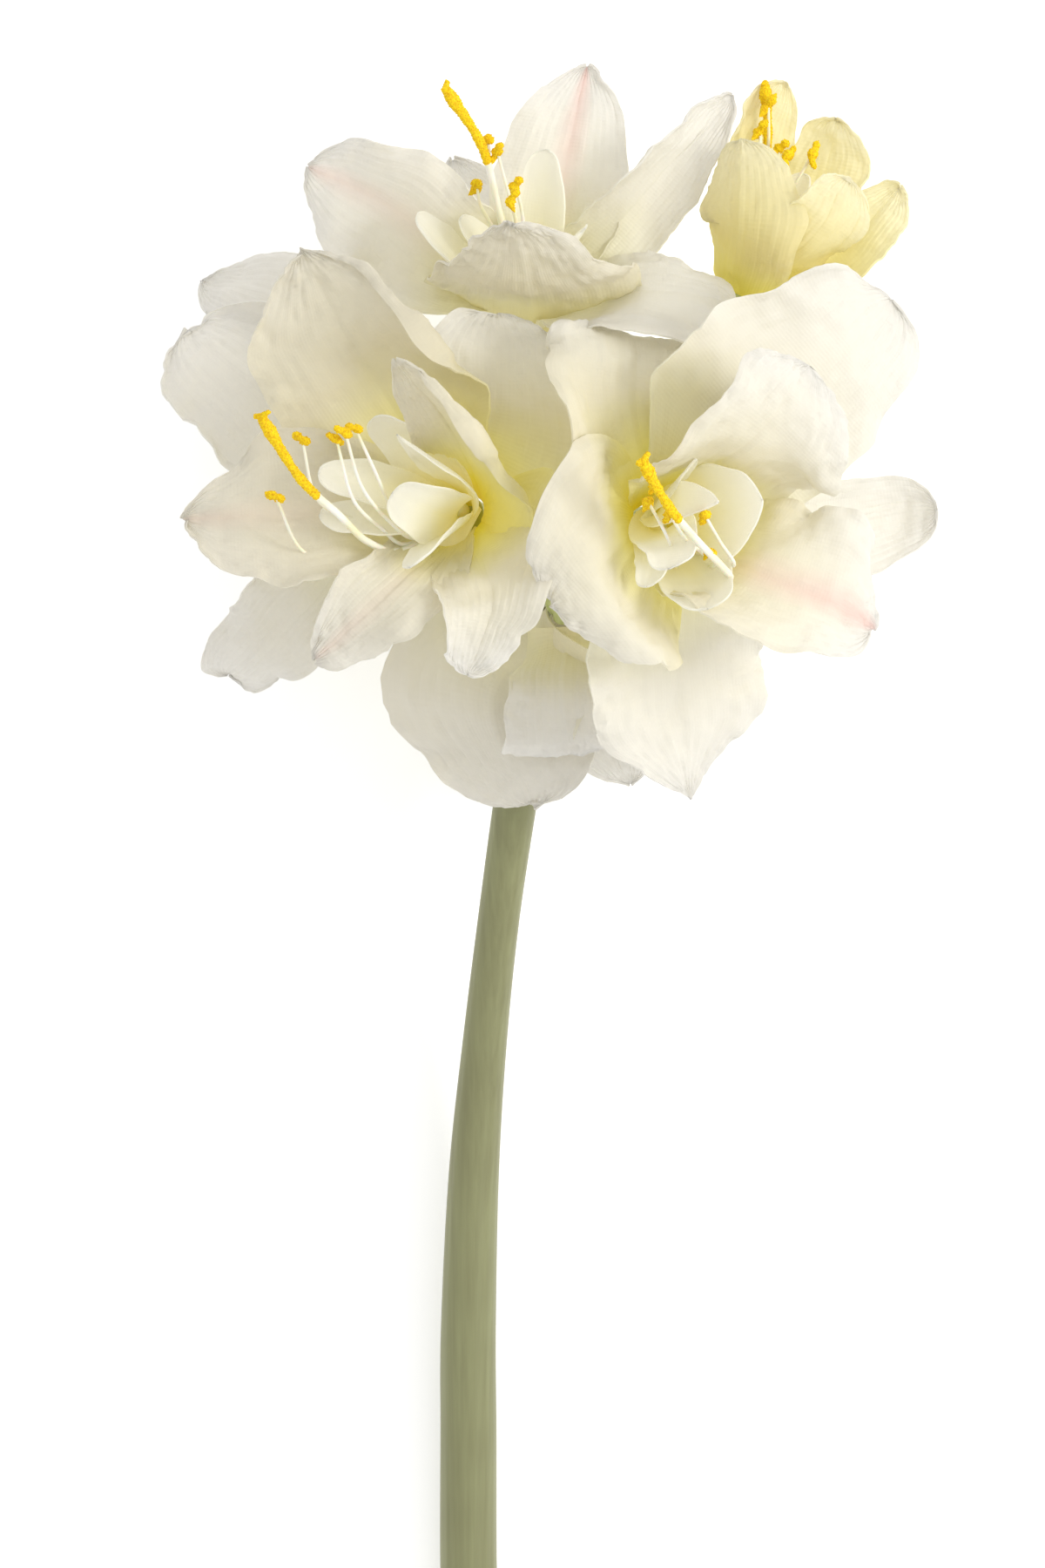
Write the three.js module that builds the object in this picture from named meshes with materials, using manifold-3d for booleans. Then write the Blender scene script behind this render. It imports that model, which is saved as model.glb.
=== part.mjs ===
// A cut amaryllis: one stem with a head of six open double flowers, lying on a table.
// Millimetres, +Z up, stem along Y. The shape is laid out around the point where the
// flower stalks meet the stem, and the whole thing is then moved so that its lowest
// point is at Z = 0 and its middle is at X = Y = 0.
import * as THREE from 'three';
import Module from 'manifold-3d';

const wasm = await Module();
wasm.setup();

// Driving dimensions.
const petalThick = 1.5;
const smallPetalThick = 1.2;
const clearance = 0.5;
const smallestStep = 0.1;
const heartStep = 0.22;
const stalkRadius = 4.2;
const ovaryRadius = 7;
const throatRadius = 6;
const filamentRadius = 0.9;
const styleRadius = 1.3;
const antherLength = 9;
const antherRadius = 2.2;
const stemSides = 16;
// Where the flower stalks meet, at the top of the stem.
const umbel = [0, 0, -22];
// How far the meeting point of the stalks sits from the middle of the finished thing.
const headPlace = [-2.8, 101, 85.2];

// The line of the stem, from the flower stalks down to the cut end, with its radius.
const stemLine = [
  [0, -8, -26, 7.2],
  [-1, -42, -35, 7.6],
  [-7, -78, -45, 7.7],
  [-13, -120, -54, 7.4],
  [-18, -164, -61, 7.9],
  [-22, -212, -67, 9.0],
  [-24, -268, -71, 9.9],
  [-24, -305, -73, 10.1],
  [-24, -353, -74.5, 10.2],
  [-23, -380, -75, 10.2],
];

// Each flower: where its throat is, which way it opens, its petals by midpoint and tip,
// then the small inner petals and the stamens (the first of these is the style).
const flowers = [
  {
    name: 'left', throat: [-23, 20, 38], axis: [-0.48, 0.22, 0.85], across: 4, along: 8,
    petals: [
      { mid: [-26, 43, 82], tip: [-46, 69, 92], half: 17, face: [-0.5, -0.35, 0.8], point: 0.6,
        lead: 0.35, left: [1.2, 1, 0.9, 1], right: [2.2, 1.5, 1.1, 1], ruffle: 2.4, phase: 1 },
      { mid: [-15, -11, 84], tip: [-23, -35, 74], half: 19, face: [-0.1, 0.3, 0.95], point: 0.45,
        lead: 0.4, lipCup: 20, left: [2.6, 1.65, 0.7, 1], right: [1, 0.95, 0.95, 1], ruffle: 2.2,
        phase: 2 },
      { mid: [-48, -6, 80], tip: [-73, -30, 72], half: 16, face: [-0.2, 0.3, 0.9], point: 0.5, cup: 30,
        lipCup: 10, left: [1.2, 1.35, 1.25, 1.1], right: [1, 0.9, 0.9, 1], ruffle: 2.2, phase: 0.6 },
      { mid: [-70, 20, 58], tip: [-119, 17, 58], half: 30, point: 0.7, cup: 35, lipCup: 15,
        right: [0.9, 0.95, 0.9, 0.8], ruffle: 3.6, waves: 1.6, phase: 0.4 },
      { mid: [-56, 68, 56], tip: [-79, 109, 62], half: 36, point: 0.72, cup: 35, lipCup: 20,
        left: [1, 1, 1.12, 0.85], right: [1.2, 1.15, 1.05, 0.8], ruffle: 3.6, waves: 1.6, phase: 2.5 },
      { mid: [-13, 55, 48], tip: [-13, 92, 42], half: 24, face: [0, -0.3, 0.95], blunt: 3, point: 0.4,
        left: [1, 1.1, 1.15, 1], right: [2, 1.2, 0.95, 1], ruffle: 3, phase: 3.2 },
    ],
    small: [
      { mid: [-37, 20, 76], tip: [-48, 25, 84], half: 11, point: 0.35, face: [-0.3, 0, 0.95] },
      { mid: [-38, 40, 62], tip: [-54, 51, 72], half: 12, point: 0.35 },
      { mid: [-28, 32, 70], tip: [-46, 44, 92], half: 10, point: 0.9, face: [-0.6, -0.3, 0.7] },
      { mid: [-49, 16, 62], tip: [-73, 18, 66], half: 9, point: 0.4 },
      { mid: [-51, 28, 62], tip: [-73, 32, 72], half: 8, point: 0.4 },
      { mid: [-32, 10, 72], tip: [-42, 0, 88], half: 9, point: 0.4 },
    ],
    stamens: [
      [[-44, 7, 62], [-56, 9, 72], [-66, 18, 86], [-78, 29, 104], [-90, 48, 118]],
      [[-43, 9, 60], [-52, 14, 72], [-61, 23, 86], [-66, 42, 100]],
      [[-40, 11, 62], [-49, 16, 74], [-58, 27, 88], [-63, 44, 104]],
      [[-40, 14, 62], [-48, 20, 72], [-54, 33, 84], [-60, 46, 94]],
      [[-43, 13, 56], [-57, 16, 62], [-73, 23, 72], [-78, 43, 84]],
      [[-43, 8, 54], [-60, 4, 60], [-78, 6, 68], [-87, 24, 80]],
    ],
  },
  {
    name: 'right', throat: [39, 17, 40], axis: [0.5, 0, 0.87], across: 4, along: 8,
    petals: [
      { mid: [23, 2, 84], tip: [7, -15, 94], half: 33, blunt: 2.6, point: 0.5,
        left: [1.15, 1.3, 1.3, 1.2], right: [1.2, 1.3, 1.1, 0.8], ruffle: 2.6, waves: 1.2, phase: 1.2 },
      { mid: [68, 40, 84], tip: [96, 63, 94], half: 31, blunt: 3.5, point: 0.45,
        left: [1, 0.9, 0.9, 1], right: [1.1, 1.15, 1.2, 1.1], ruffle: 3.4, phase: 0.5 },
      { mid: [77, -3, 76], tip: [118, -18, 72], half: 29, blunt: 2.6, point: 0.55,
        left: [1.05, 1.1, 1.2, 1.3], right: [1, 1, 0.75, 0.75], ruffle: 3.6, waves: 2, phase: 2.2 },
      { mid: [47, -33, 32], tip: [53, -77, 12], half: 35, neck: 0.7, blunt: 2.4, point: 0.75, cup: 20,
        lipCup: 5, left: [1, 1.02, 1.08, 0.4], right: [1.2, 1.05, 0.85, 0.35], ruffle: 4.2, waves: 2.2,
        phase: 1.7 },
      { mid: [35, 54, 64], tip: [36, 90, 54], half: 36, neck: 0.5, wide: 0.55, blunt: 3.4, point: 0.42,
        left: [1.1, 1, 1, 1], right: [1.1, 1, 0.95, 0.95], ruffle: 4.5, waves: 1.4, phase: 0.9 },
      { mid: [84, 54, 48], tip: [125, 93, 42], half: 32, blunt: 3, point: 0.5,
        left: [1.6, 1.4, 1.15, 1], right: [1, 0.9, 0.9, 0.95], ruffle: 3.4, waves: 1.6, phase: 1.4 },
      { mid: [94, 14, 22], tip: [136, 24, -2], half: 17, blunt: 3, point: 0.4, ruffle: 2.6,
        phase: 0.3 },
    ],
    small: [
      { mid: [40, 4, 74], tip: [37, -6, 84], half: 7, point: 0.3, face: [-0.2, 0.2, 0.95] },
      { mid: [45, 9, 84], tip: [44, -1, 98], half: 11, point: 0.3, face: [0, 0.2, 0.95] },
      { mid: [53, -2, 70], tip: [57, -14, 92], half: 13, point: 0.35, face: [0, 0.4, 0.9] },
      { mid: [61, 19, 70], tip: [75, 22, 96], half: 17, point: 0.6, face: [-0.5, -0.1, 0.85] },
      { mid: [49, 21, 84], tip: [60, 21, 104], half: 8, point: 0.9, face: [0, 0.2, 0.95] },
      { mid: [45, 27, 70], tip: [53, 36, 84], half: 5, point: 0.4 },
    ],
    stamens: [
      [[51, 5, 56], [65, -3, 78], [53, 9, 98], [43, 20, 112], [35, 33, 122]],
      [[51, 7, 56], [66, 1, 76], [61, 9, 88], [56, 17, 96]],
      [[50, 9, 56], [58, 4, 72], [50, 9, 92], [44, 17, 104]],
      [[49, 10, 56], [54, 10, 72], [46, 15, 92], [39, 26, 108]],
      [[50, 5, 56], [58, 1, 68], [60, 2, 80], [58, 5, 88]],
      [[47, 5, 54], [47, 1, 70], [44, 9, 92], [37, 21, 106]],
    ],
  },
  {
    name: 'top', throat: [-1, 88, 2], axis: [0, 0.75, 0.66], across: 4, along: 8,
    petals: [
      { mid: [-4, 99, 52], tip: [-7, 121, 74], half: 38, neck: 0.85, wide: 0.3, blunt: 1.8, point: 0.6,
        left: [1.08, 1.08, 1.05, 1], right: [1, 0.9, 0.9, 1], ruffle: 3.4, waves: 1.4, phase: 2.4 },
      { mid: [38, 97, 32], tip: [76, 93, 26], half: 22, blunt: 3, point: 0.5,
        left: [1, 0.95, 0.8, 0.8], right: [1.2, 1.3, 1.3, 1.2], ruffle: 2.2, phase: 0.8 },
      { mid: [-44, 123, 16], tip: [-78, 141, 16], half: 23, face: [0, -0.3, 0.95], blunt: 2.6,
        point: 0.5, cup: 20, left: [1.2, 1.2, 1.15, 1], right: [1, 1, 0.95, 0.9], ruffle: 3.4,
        waves: 2, phase: 1.9 },
      { mid: [41, 135, 12], tip: [68, 167, 6], half: 16, face: [0.2, -0.4, 0.9], point: 0.55, cup: 60,
        lipCup: 70, left: [1.2, 1.15, 1, 1], right: [1.2, 1, 0.9, 1], ruffle: 1.8, phase: 0.9 },
      { mid: [10, 138, 6], tip: [18, 178, -4], half: 22, face: [0, -0.3, 0.95], point: 0.7,
        left: [1.2, 1.15, 1, 0.9], right: [1.1, 1, 0.95, 0.9], ruffle: 2.8, waves: 1.8, phase: 2.8 },
      { mid: [-17, 121, -18], tip: [-29, 149, -34], half: 16 },
    ],
    small: [
      { mid: [-25, 105, 22], tip: [-41, 121, 34], half: 14, point: 0.35 },
      { mid: [2, 119, 22], tip: [4, 145, 34], half: 10, point: 0.4 },
      { mid: [-17, 111, 18], tip: [-26, 122, 26], half: 8, point: 0.4 },
      { mid: [10, 107, 26], tip: [17, 117, 40], half: 9, point: 0.4 },
    ],
    stamens: [
      [[-6, 102, 20], [-12, 121, 40], [-18, 143, 58], [-30, 161, 70]],
      [[-6, 102, 20], [-11, 121, 36], [-15, 135, 46], [-16, 146, 54]],
      [[-5, 102, 20], [-7, 121, 38], [-10, 131, 48], [-13, 142, 56]],
      [[-4, 102, 22], [-4, 115, 44], [-5, 123, 54], [-7, 130, 62]],
      [[-4, 102, 24], [-6, 111, 48], [-7, 119, 60], [-8, 125, 68]],
      [[-7, 102, 18], [-15, 119, 30], [-19, 126, 36], [-20, 132, 40]],
    ],
  },
  {
    name: 'corner', throat: [71, 99, 0], axis: [0.42, 0.88, 0.2], across: 4, along: 8,
    ring: 6, flare: 25,
    petals: [
      { mid: [70, 118, 30], tip: [71, 149, 26], half: 21, out: [-0.5, 0.2, 0.85], neck: 0.55,
        point: 0.5, cup: 45, lipCup: 30, ruffle: 2.2, phase: 0.7 },
      { mid: [97, 116, 26], tip: [108, 135, 28], half: 17, out: [0.6, -0.2, 0.75], neck: 0.55,
        blunt: 4, point: 0.5, cup: 40, lipCup: 15, phase: 1.4 },
      { mid: [107, 113, 6], tip: [126, 135, 6], half: 17, face: [-0.5, 0.3, 0.8], out: [0.9, -0.4, 0],
        point: 0.65, phase: 2.4 },
      { mid: [74, 146, -12], tip: [87, 173, -8], half: 18, out: [-0.6, 0.3, -0.6], point: 0.6,
        phase: 0.4 },
      { mid: [100, 137, -12], tip: [105, 160, -10], half: 18, out: [0.5, 0, -0.8], blunt: 3,
        point: 0.5, phase: 3 },
      { mid: [72, 135, -26], tip: [71, 155, -28], half: 15, out: [-0.8, 0.4, -0.4] },
    ],
    small: [
      { mid: [82, 128, 0], tip: [88, 138, 4], half: 8, point: 0.4, out: [-0.3, 0.2, 0.8] },
      { mid: [88, 129, -6], tip: [94, 141, -8], half: 8, point: 0.4, out: [0.6, 0.2, -0.6] },
    ],
    stamens: [
      [[77, 113, -4], [79, 134, -4], [81, 153, -4], [80, 171, -2]],
      [[77, 113, 2], [82, 127, 6], [83, 136, 10], [87, 145, 14]],
      [[78, 113, 0], [85, 128, 4], [90, 136, 8], [96, 146, 12]],
      [[77, 113, 0], [81, 128, 0], [83, 140, 2], [85, 149, 4]],
      [[77, 113, 0], [79, 128, 2], [78, 140, 4], [78, 155, 6]],
      [[77, 113, -2], [79, 134, 0], [81, 149, 0], [81, 164, 2]],
    ],
  },
  {
    name: 'underleft', throat: [-49, 28, -35], axis: [-0.75, 0.05, -0.66], across: 4, along: 7,
    petals: [
      { mid: [-82, 91, -34], tip: [-118, 107, -42], half: 30, face: [-0.3, -0.2, -0.9], point: 0.6,
        lead: 0.35, ruffle: 2.2, phase: 1.2 },
      { mid: [-87, 59, -14], tip: [-122, 88, -20], half: 29, face: [-0.3, -0.2, -0.9], blunt: 4,
        point: 0.4, ruffle: 2.8, phase: 2.6 },
      { mid: [-82, -8, -18], tip: [-113, -44, -26], half: 18, face: [-0.3, 0, -0.9], point: 0.4,
        ruffle: 6, waves: 2.4, phase: 1.1 },
      { mid: [-92, 24, -55], tip: [-112, 19, -84.7], half: 26 },
      { mid: [-64, 71, -56], tip: [-83, 90, -81.2], half: 26 },
      { mid: [-61, -7, -56], tip: [-72, -26, -80], half: 26 },
    ],
    small: [],
    stamens: [
      [[-60, 29, -45], [-76, 32, -52], [-92, 36, -54], [-104, 42, -54]],
      [[-60, 31, -45], [-72, 38, -54], [-82, 46, -58], [-90, 52, -60]],
      [[-60, 27, -45], [-74, 20, -54], [-84, 14, -56], [-92, 8, -56]],
      [[-60, 29, -47], [-70, 30, -58], [-80, 34, -65], [-88, 38, -68]],
      [[-59, 26, -46], [-68, 18, -58], [-76, 10, -64], [-82, 2, -66]],
      [[-61, 30, -43], [-76, 28, -46], [-90, 24, -46], [-100, 20, -44]],
    ],
  },
  {
    name: 'low', throat: [12, -14, 8], axis: [0.15, -0.85, -0.5], across: 4, along: 7,
    petals: [
      { mid: [10, -39, 26], tip: [12, -67, 10], half: 20, face: [0, -0.3, -0.9], neck: 0.9, blunt: 7,
        point: 0.25, left: [1, 1, 1.1, 1.2], ruffle: 1.2, phase: 0.5 },
      { mid: [-14, -43, 2], tip: [-1, -80, -14], half: 34, face: [0.1, 0.1, -0.95], neck: 0.9,
        blunt: 3, point: 0.5, left: [1.5, 1.15, 0.8, 0.6], ruffle: 3.4, phase: 1.9 },
      { mid: [44, -38, -14], tip: [68, -50, -40], half: 26 },
      { mid: [32, -24, -44], tip: [52, -30, -81.8], half: 26 },
      { mid: [24, -52, -30], tip: [34, -72, -52], half: 18 },
      { mid: [-16, -40, -38], tip: [-34, -58, -70], half: 18 },
    ],
    small: [],
    stamens: [
      [[14, -26, 0], [17, -36, -8], [19, -44, -14], [20, -52, -18]],
      [[13, -26, 0], [14, -36, -10], [14, -44, -16], [13, -50, -18]],
      [[15, -26, 0], [20, -34, -10], [24, -40, -18], [28, -44, -22]],
      [[12, -25, -1], [10, -34, -12], [8, -40, -18], [6, -44, -22]],
      [[15, -24, -1], [20, -30, -14], [24, -34, -22], [26, -38, -28]],
      [[11, -26, 1], [7, -36, -4], [4, -44, -8], [1, -48, -10]],
    ],
  },
];

const paint = {
  petal: { color: '#f1ece0', roughness: 0.62, metalness: 0 },
  creamPetal: { color: '#f0e4c4', roughness: 0.62, metalness: 0 },
  heart: { color: '#f2e8bd', roughness: 0.6, metalness: 0 },
  stamen: { color: '#ecc416', roughness: 0.7, metalness: 0 },
  stalk: { color: '#b3bb76', roughness: 0.5, metalness: 0 },
  stem: { color: '#9aa070', roughness: 0.42, metalness: 0 },
};

const vec = (list) => new THREE.Vector3(list[0], list[1], list[2]);
const radians = THREE.MathUtils.degToRad;

function ease(value) {
  const x = Math.min(Math.max(value, 0), 1);
  return x * x * (3 - 2 * x);
}

function rejected(vector, unit) {
  return vector.clone().addScaledVector(unit, -vector.dot(unit));
}

// Part of the full half width of a petal, from its narrow foot to its tip.
function widthAt(t, neck, wide, blunt, point) {
  if (t < wide) return neck + (1 - neck) * Math.sin((Math.PI / 2) * (t / wide));
  const u = (t - wide) / (1 - wide);
  return Math.pow(Math.max(1 - Math.pow(u, blunt), 0), point);
}

// One side of a petal as a share of its own outline, given at a quarter, half, three quarters
// of the way to the tip and at the tip.
function shareAt(t, shares) {
  const stations = [1, ...shares];
  const k = Math.min(Math.floor(t * 4), 3);
  return THREE.MathUtils.lerp(stations[k], stations[k + 1], t * 4 - k);
}

// The middle surface of one petal as rows of points, foot first.
function petalRows(flower, petal, across, along, grow) {
  const shape = {
    neck: 0.35, wide: 0.55, blunt: 2.2, point: 0.75, lead: 0.25,
    footCup: 55, cup: 25, lipCup: 10, ruffle: 2, waves: 1.5, phase: 0, ring: flower.ring ?? 7,
    left: [1, 1, 1, 1], right: [1, 1, 1, 1], ...petal,
  };
  const axis = vec(flower.axis).normalize();
  const throat = vec(flower.throat);
  const mid = vec(shape.mid);
  const tip = vec(shape.tip);
  const outward = shape.out ? vec(shape.out) : mid.clone().sub(throat);
  const side = rejected(outward, axis).normalize();
  const flare = radians(flower.flare ?? 20);
  const foot = throat.clone().addScaledVector(side, shape.ring);
  const start = axis.clone().multiplyScalar(Math.cos(flare)).addScaledVector(side, Math.sin(flare));
  const length = mid.distanceTo(foot) + tip.distanceTo(mid);
  const rise = start.multiplyScalar((length * shape.lead * 2) / 3);
  const through = tip.clone().sub(foot).divideScalar(6);
  const onward = tip.clone().sub(mid).divideScalar(3);
  const line = new THREE.CurvePath();
  line.add(new THREE.CubicBezierCurve3(foot, foot.clone().add(rise), mid.clone().sub(through), mid));
  line.add(new THREE.CubicBezierCurve3(mid, mid.clone().add(through), tip.clone().sub(onward), tip));
  const times = [];
  for (let j = 0; j <= along; j += 1) times.push(1 - Math.pow(1 - j / along, 1.4));
  const footSide = axis.clone().cross(side);
  const midSlope = line.getTangent(0.5);
  const midSide = shape.face
    ? rejected(vec(shape.face), midSlope).normalize().cross(midSlope)
    : footSide.clone();
  return times.map((t, j) => {
    const centre = line.getPoint(t);
    const run = line.getTangent(t);
    const blend = ease(t / 0.5);
    const wish = footSide.clone().multiplyScalar(1 - blend).addScaledVector(midSide, blend);
    const lateral = rejected(wish, run).normalize();
    const up = run.clone().cross(lateral).normalize();
    const part = widthAt(t, shape.neck, shape.wide, shape.blunt, shape.point);
    const bend = radians(t < 0.4
      ? shape.footCup + (shape.cup - shape.footCup) * ease(t / 0.4)
      : shape.cup + (shape.lipCup - shape.cup) * ease((t - 0.4) / 0.6));
    if (j === 0) centre.addScaledVector(run, -grow);
    if (j === along) centre.addScaledVector(run, grow);
    const row = [];
    for (let i = 0; i <= across; i += 1) {
      const s = (i / across) * 2 - 1;
      const half = Math.max(shape.half * part * shareAt(t, s < 0 ? shape.right : shape.left), 0.7);
      const wave = Math.sin(2 * Math.PI * shape.waves * t + shape.phase + (s > 0 ? 1.7 : 0));
      const lift = shape.ruffle * Math.pow(Math.abs(s), 2.5) * wave
        * ease((t - 0.15) / 0.35) * Math.sqrt(Math.min(half / shape.half, 1));
      const rim = i === 0 || i === across ? grow : 0;
      const reach = half * Math.sin(bend * s) / bend + s * rim * Math.cos(bend);
      const height = half * (1 - Math.cos(bend * s)) / bend + lift + rim * Math.sin(bend);
      row.push(centre.clone().addScaledVector(lateral, reach).addScaledVector(up, height));
    }
    return row;
  });
}

// A closed thin body around rows of points.
function sheet(rows, thick) {
  const along = rows.length - 1;
  const across = rows[0].length - 1;
  const upper = [];
  const lower = [];
  for (let j = 0; j <= along; j += 1) {
    for (let i = 0; i <= across; i += 1) {
      const before = rows[Math.max(j - 1, 0)][i];
      const after = rows[Math.min(j + 1, along)][i];
      const left = rows[j][Math.max(i - 1, 0)];
      const right = rows[j][Math.min(i + 1, across)];
      const normal = after.clone().sub(before).cross(right.clone().sub(left)).normalize();
      upper.push(rows[j][i].clone().addScaledVector(normal, thick / 2));
      lower.push(rows[j][i].clone().addScaledVector(normal, -thick / 2));
    }
  }
  const points = [...upper, ...lower];
  const shift = upper.length;
  const at = (j, i) => j * (across + 1) + i;
  const faces = [];
  const quad = (a, b, c, d) => faces.push(a, b, c, a, c, d);
  for (let j = 0; j < along; j += 1) {
    for (let i = 0; i < across; i += 1) {
      quad(at(j, i), at(j + 1, i), at(j + 1, i + 1), at(j, i + 1));
      quad(shift + at(j, i), shift + at(j, i + 1), shift + at(j + 1, i + 1), shift + at(j + 1, i));
    }
    quad(at(j, 0), shift + at(j, 0), shift + at(j + 1, 0), at(j + 1, 0));
    quad(at(j, across), at(j + 1, across), shift + at(j + 1, across), shift + at(j, across));
  }
  for (let i = 0; i < across; i += 1) {
    quad(at(0, i), at(0, i + 1), shift + at(0, i + 1), shift + at(0, i));
    quad(at(along, i), shift + at(along, i), shift + at(along, i + 1), at(along, i + 1));
  }
  return solid(points, faces);
}

function solid(points, faces) {
  const vertProperties = new Float32Array(points.flatMap((p) => [p.x, p.y, p.z]));
  const triVerts = new Uint32Array(faces);
  const body = new wasm.Manifold(new wasm.Mesh({ numProp: 3, vertProperties, triVerts }));
  return body;
}

// A closed round rod along a line of points, with a radius at each.
function rod(points, radii, sides) {
  const ring = [];
  const faces = [];
  let reference = new THREE.Vector3(0, 0, 1);
  points.forEach((p, j) => {
    const before = points[Math.max(j - 1, 0)];
    const after = points[Math.min(j + 1, points.length - 1)];
    const run = after.clone().sub(before).normalize();
    if (j === 0 && Math.abs(run.z) > 0.9) reference = new THREE.Vector3(1, 0, 0);
    reference = rejected(reference, run).normalize();
    const other = run.clone().cross(reference);
    for (let i = 0; i < sides; i += 1) {
      const angle = (2 * Math.PI * i) / sides;
      const out = p.clone().addScaledVector(reference, radii[j] * Math.cos(angle));
      ring.push(out.addScaledVector(other, radii[j] * Math.sin(angle)));
    }
  });
  const last = points.length - 1;
  for (let j = 0; j < last; j += 1) {
    for (let i = 0; i < sides; i += 1) {
      const a = j * sides + i;
      const b = j * sides + ((i + 1) % sides);
      faces.push(a, b, b + sides, a, b + sides, a + sides);
    }
  }
  for (let i = 1; i < sides - 1; i += 1) {
    faces.push(0, i + 1, i);
    faces.push(last * sides, last * sides + i, last * sides + i + 1);
  }
  return solid(ring, faces);
}

function joined(bodies) {
  return bodies.reduce((whole, body) => whole.add(body));
}

// What is left of a body once its neighbours have their room, without loose scraps.
function fitted(body, neighbours, step) {
  const reach = body.boundingBox();
  const near = neighbours.filter((other) => {
    const box = other.boundingBox();
    return [0, 1, 2].every((k) => box.min[k] <= reach.max[k] && box.max[k] >= reach.min[k]);
  });
  let rest = body;
  near.forEach((other) => {
    rest = rest.subtract(other);
  });
  const pieces = rest.simplify(step).decompose();
  return pieces.sort((a, b) => b.volume() - a.volume())[0];
}

// Stalk, ovary and tube of one flower in one piece, from the stem top to the throat.
function stalkBody(flower, grow) {
  const throat = vec(flower.throat);
  const axis = vec(flower.axis).normalize();
  const meet = vec(umbel);
  const length = throat.distanceTo(meet);
  const away = throat.clone().sub(meet).normalize();
  const start = meet.clone().addScaledVector(away, 4);
  const line = new THREE.CubicBezierCurve3(
    start,
    start.clone().addScaledVector(away, length * 0.3),
    throat.clone().addScaledVector(axis, -length * 0.35),
    throat.clone(),
  );
  const steps = [0, 0.2, 0.4, 0.55, 0.68, 0.8, 0.9, 1];
  const swell = [1, 1, 1, 1.15, 1.6, 1.62, 1.4, 1.43];
  const points = steps.map((t) => line.getPoint(t));
  points[0].addScaledVector(away, -grow);
  points[7].addScaledVector(axis, grow);
  const radii = swell.map((part) => stalkRadius * part + grow);
  radii[4] = ovaryRadius + grow;
  radii[7] = throatRadius + grow;
  return rod(points, radii, 10);
}

// Filaments with their anthers and the style, joined in one piece at their foot.
function stamenBody(flower, grow) {
  const throat = vec(flower.throat);
  const axis = vec(flower.axis).normalize();
  const foot = throat.clone().addScaledVector(axis, 5.5);
  const bodies = [];
  const knobLine = [-3, -1.5, 1.5, 3].map((d) => foot.clone().addScaledVector(axis, d));
  knobLine[0].addScaledVector(axis, -grow);
  bodies.push(rod(knobLine, [1.8, 3.2, 3.2, 1.8].map((r) => r + grow), 8));
  flower.stamens.forEach((places, k) => {
    const thick = (k === 0 ? styleRadius : filamentRadius) + grow;
    const line = [foot.clone(), ...places.map(vec)];
    const end = line[line.length - 1];
    const run = end.clone().sub(line[line.length - 2]).normalize();
    bodies.push(rod(line, line.map(() => thick), 4));
    const half = antherLength / 2;
    const across = k === 0 ? run.clone() : rejected(axis, run).normalize();
    const lean = run.clone().multiplyScalar(0.7).addScaledVector(across, 0.7).normalize();
    const bead = [-half - grow, -half * 0.55, half * 0.55, half + grow];
    const line2 = bead.map((d) => end.clone().addScaledVector(lean, d));
    bodies.push(rod(line2, [0.7, 1, 1, 0.7].map((part) => antherRadius * part + grow), 5));
  });
  return joined(bodies);
}

// The small inner petals of one flower, joined in one piece around a shallow cup.
function heartBody(flower, grow) {
  const throat = vec(flower.throat);
  const axis = vec(flower.axis).normalize();
  const cupLine = [1 - grow, 4, 7 + grow].map((d) => throat.clone().addScaledVector(axis, d));
  const bodies = [rod(cupLine, [4.6 + grow, 5 + grow, 5.4 + grow], 12)];
  flower.small.forEach((petal) => {
    const full = { ring: 4.2, neck: 0.4, ruffle: 0.6, cup: 30, lipCup: 15, ...petal };
    bodies.push(sheet(petalRows(flower, full, 2, 4, grow), smallPetalThick + 2 * grow));
  });
  return joined(bodies);
}

const group = new THREE.Group();
group.position.set(headPlace[0], headPlace[1], headPlace[2]);

function place(name, body, look) {
  const data = body.getMesh();
  const shape = new THREE.BufferGeometry();
  const points = new Float32Array((data.vertProperties.length / data.numProp) * 3);
  for (let k = 0; k < points.length / 3; k += 1) {
    for (let c = 0; c < 3; c += 1) points[3 * k + c] = data.vertProperties[data.numProp * k + c];
  }
  shape.setAttribute('position', new THREE.BufferAttribute(points, 3));
  shape.setIndex(new THREE.BufferAttribute(new Uint32Array(data.triVerts), 1));
  const mesh = new THREE.Mesh(shape, new THREE.MeshStandardMaterial(look));
  mesh.name = name;
  group.add(mesh);
}

// Bodies already placed, each with room around it for the ones that come after.
const taken = [];

function settle(name, exact, roomy, look, step = smallestStep) {
  const body = fitted(exact, taken, step);
  place(name, body, look);
  taken.push(roomy);
  if (step > smallestStep) taken.push(body);
}

function stemBody(grow) {
  const smooth = new THREE.CatmullRomCurve3(stemLine.map(vec), false, 'centripetal');
  const thickness = new THREE.CatmullRomCurve3(stemLine.map((row) => new THREE.Vector3(row[3], 0, 0)));
  const points = smooth.getPoints(12);
  const radii = points.map((p, j) => thickness.getPoint(j / 12).x + grow);
  const first = points[0].clone().sub(points[1]).normalize();
  points[0].addScaledVector(first, grow);
  return rod(points, radii, stemSides);
}

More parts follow.
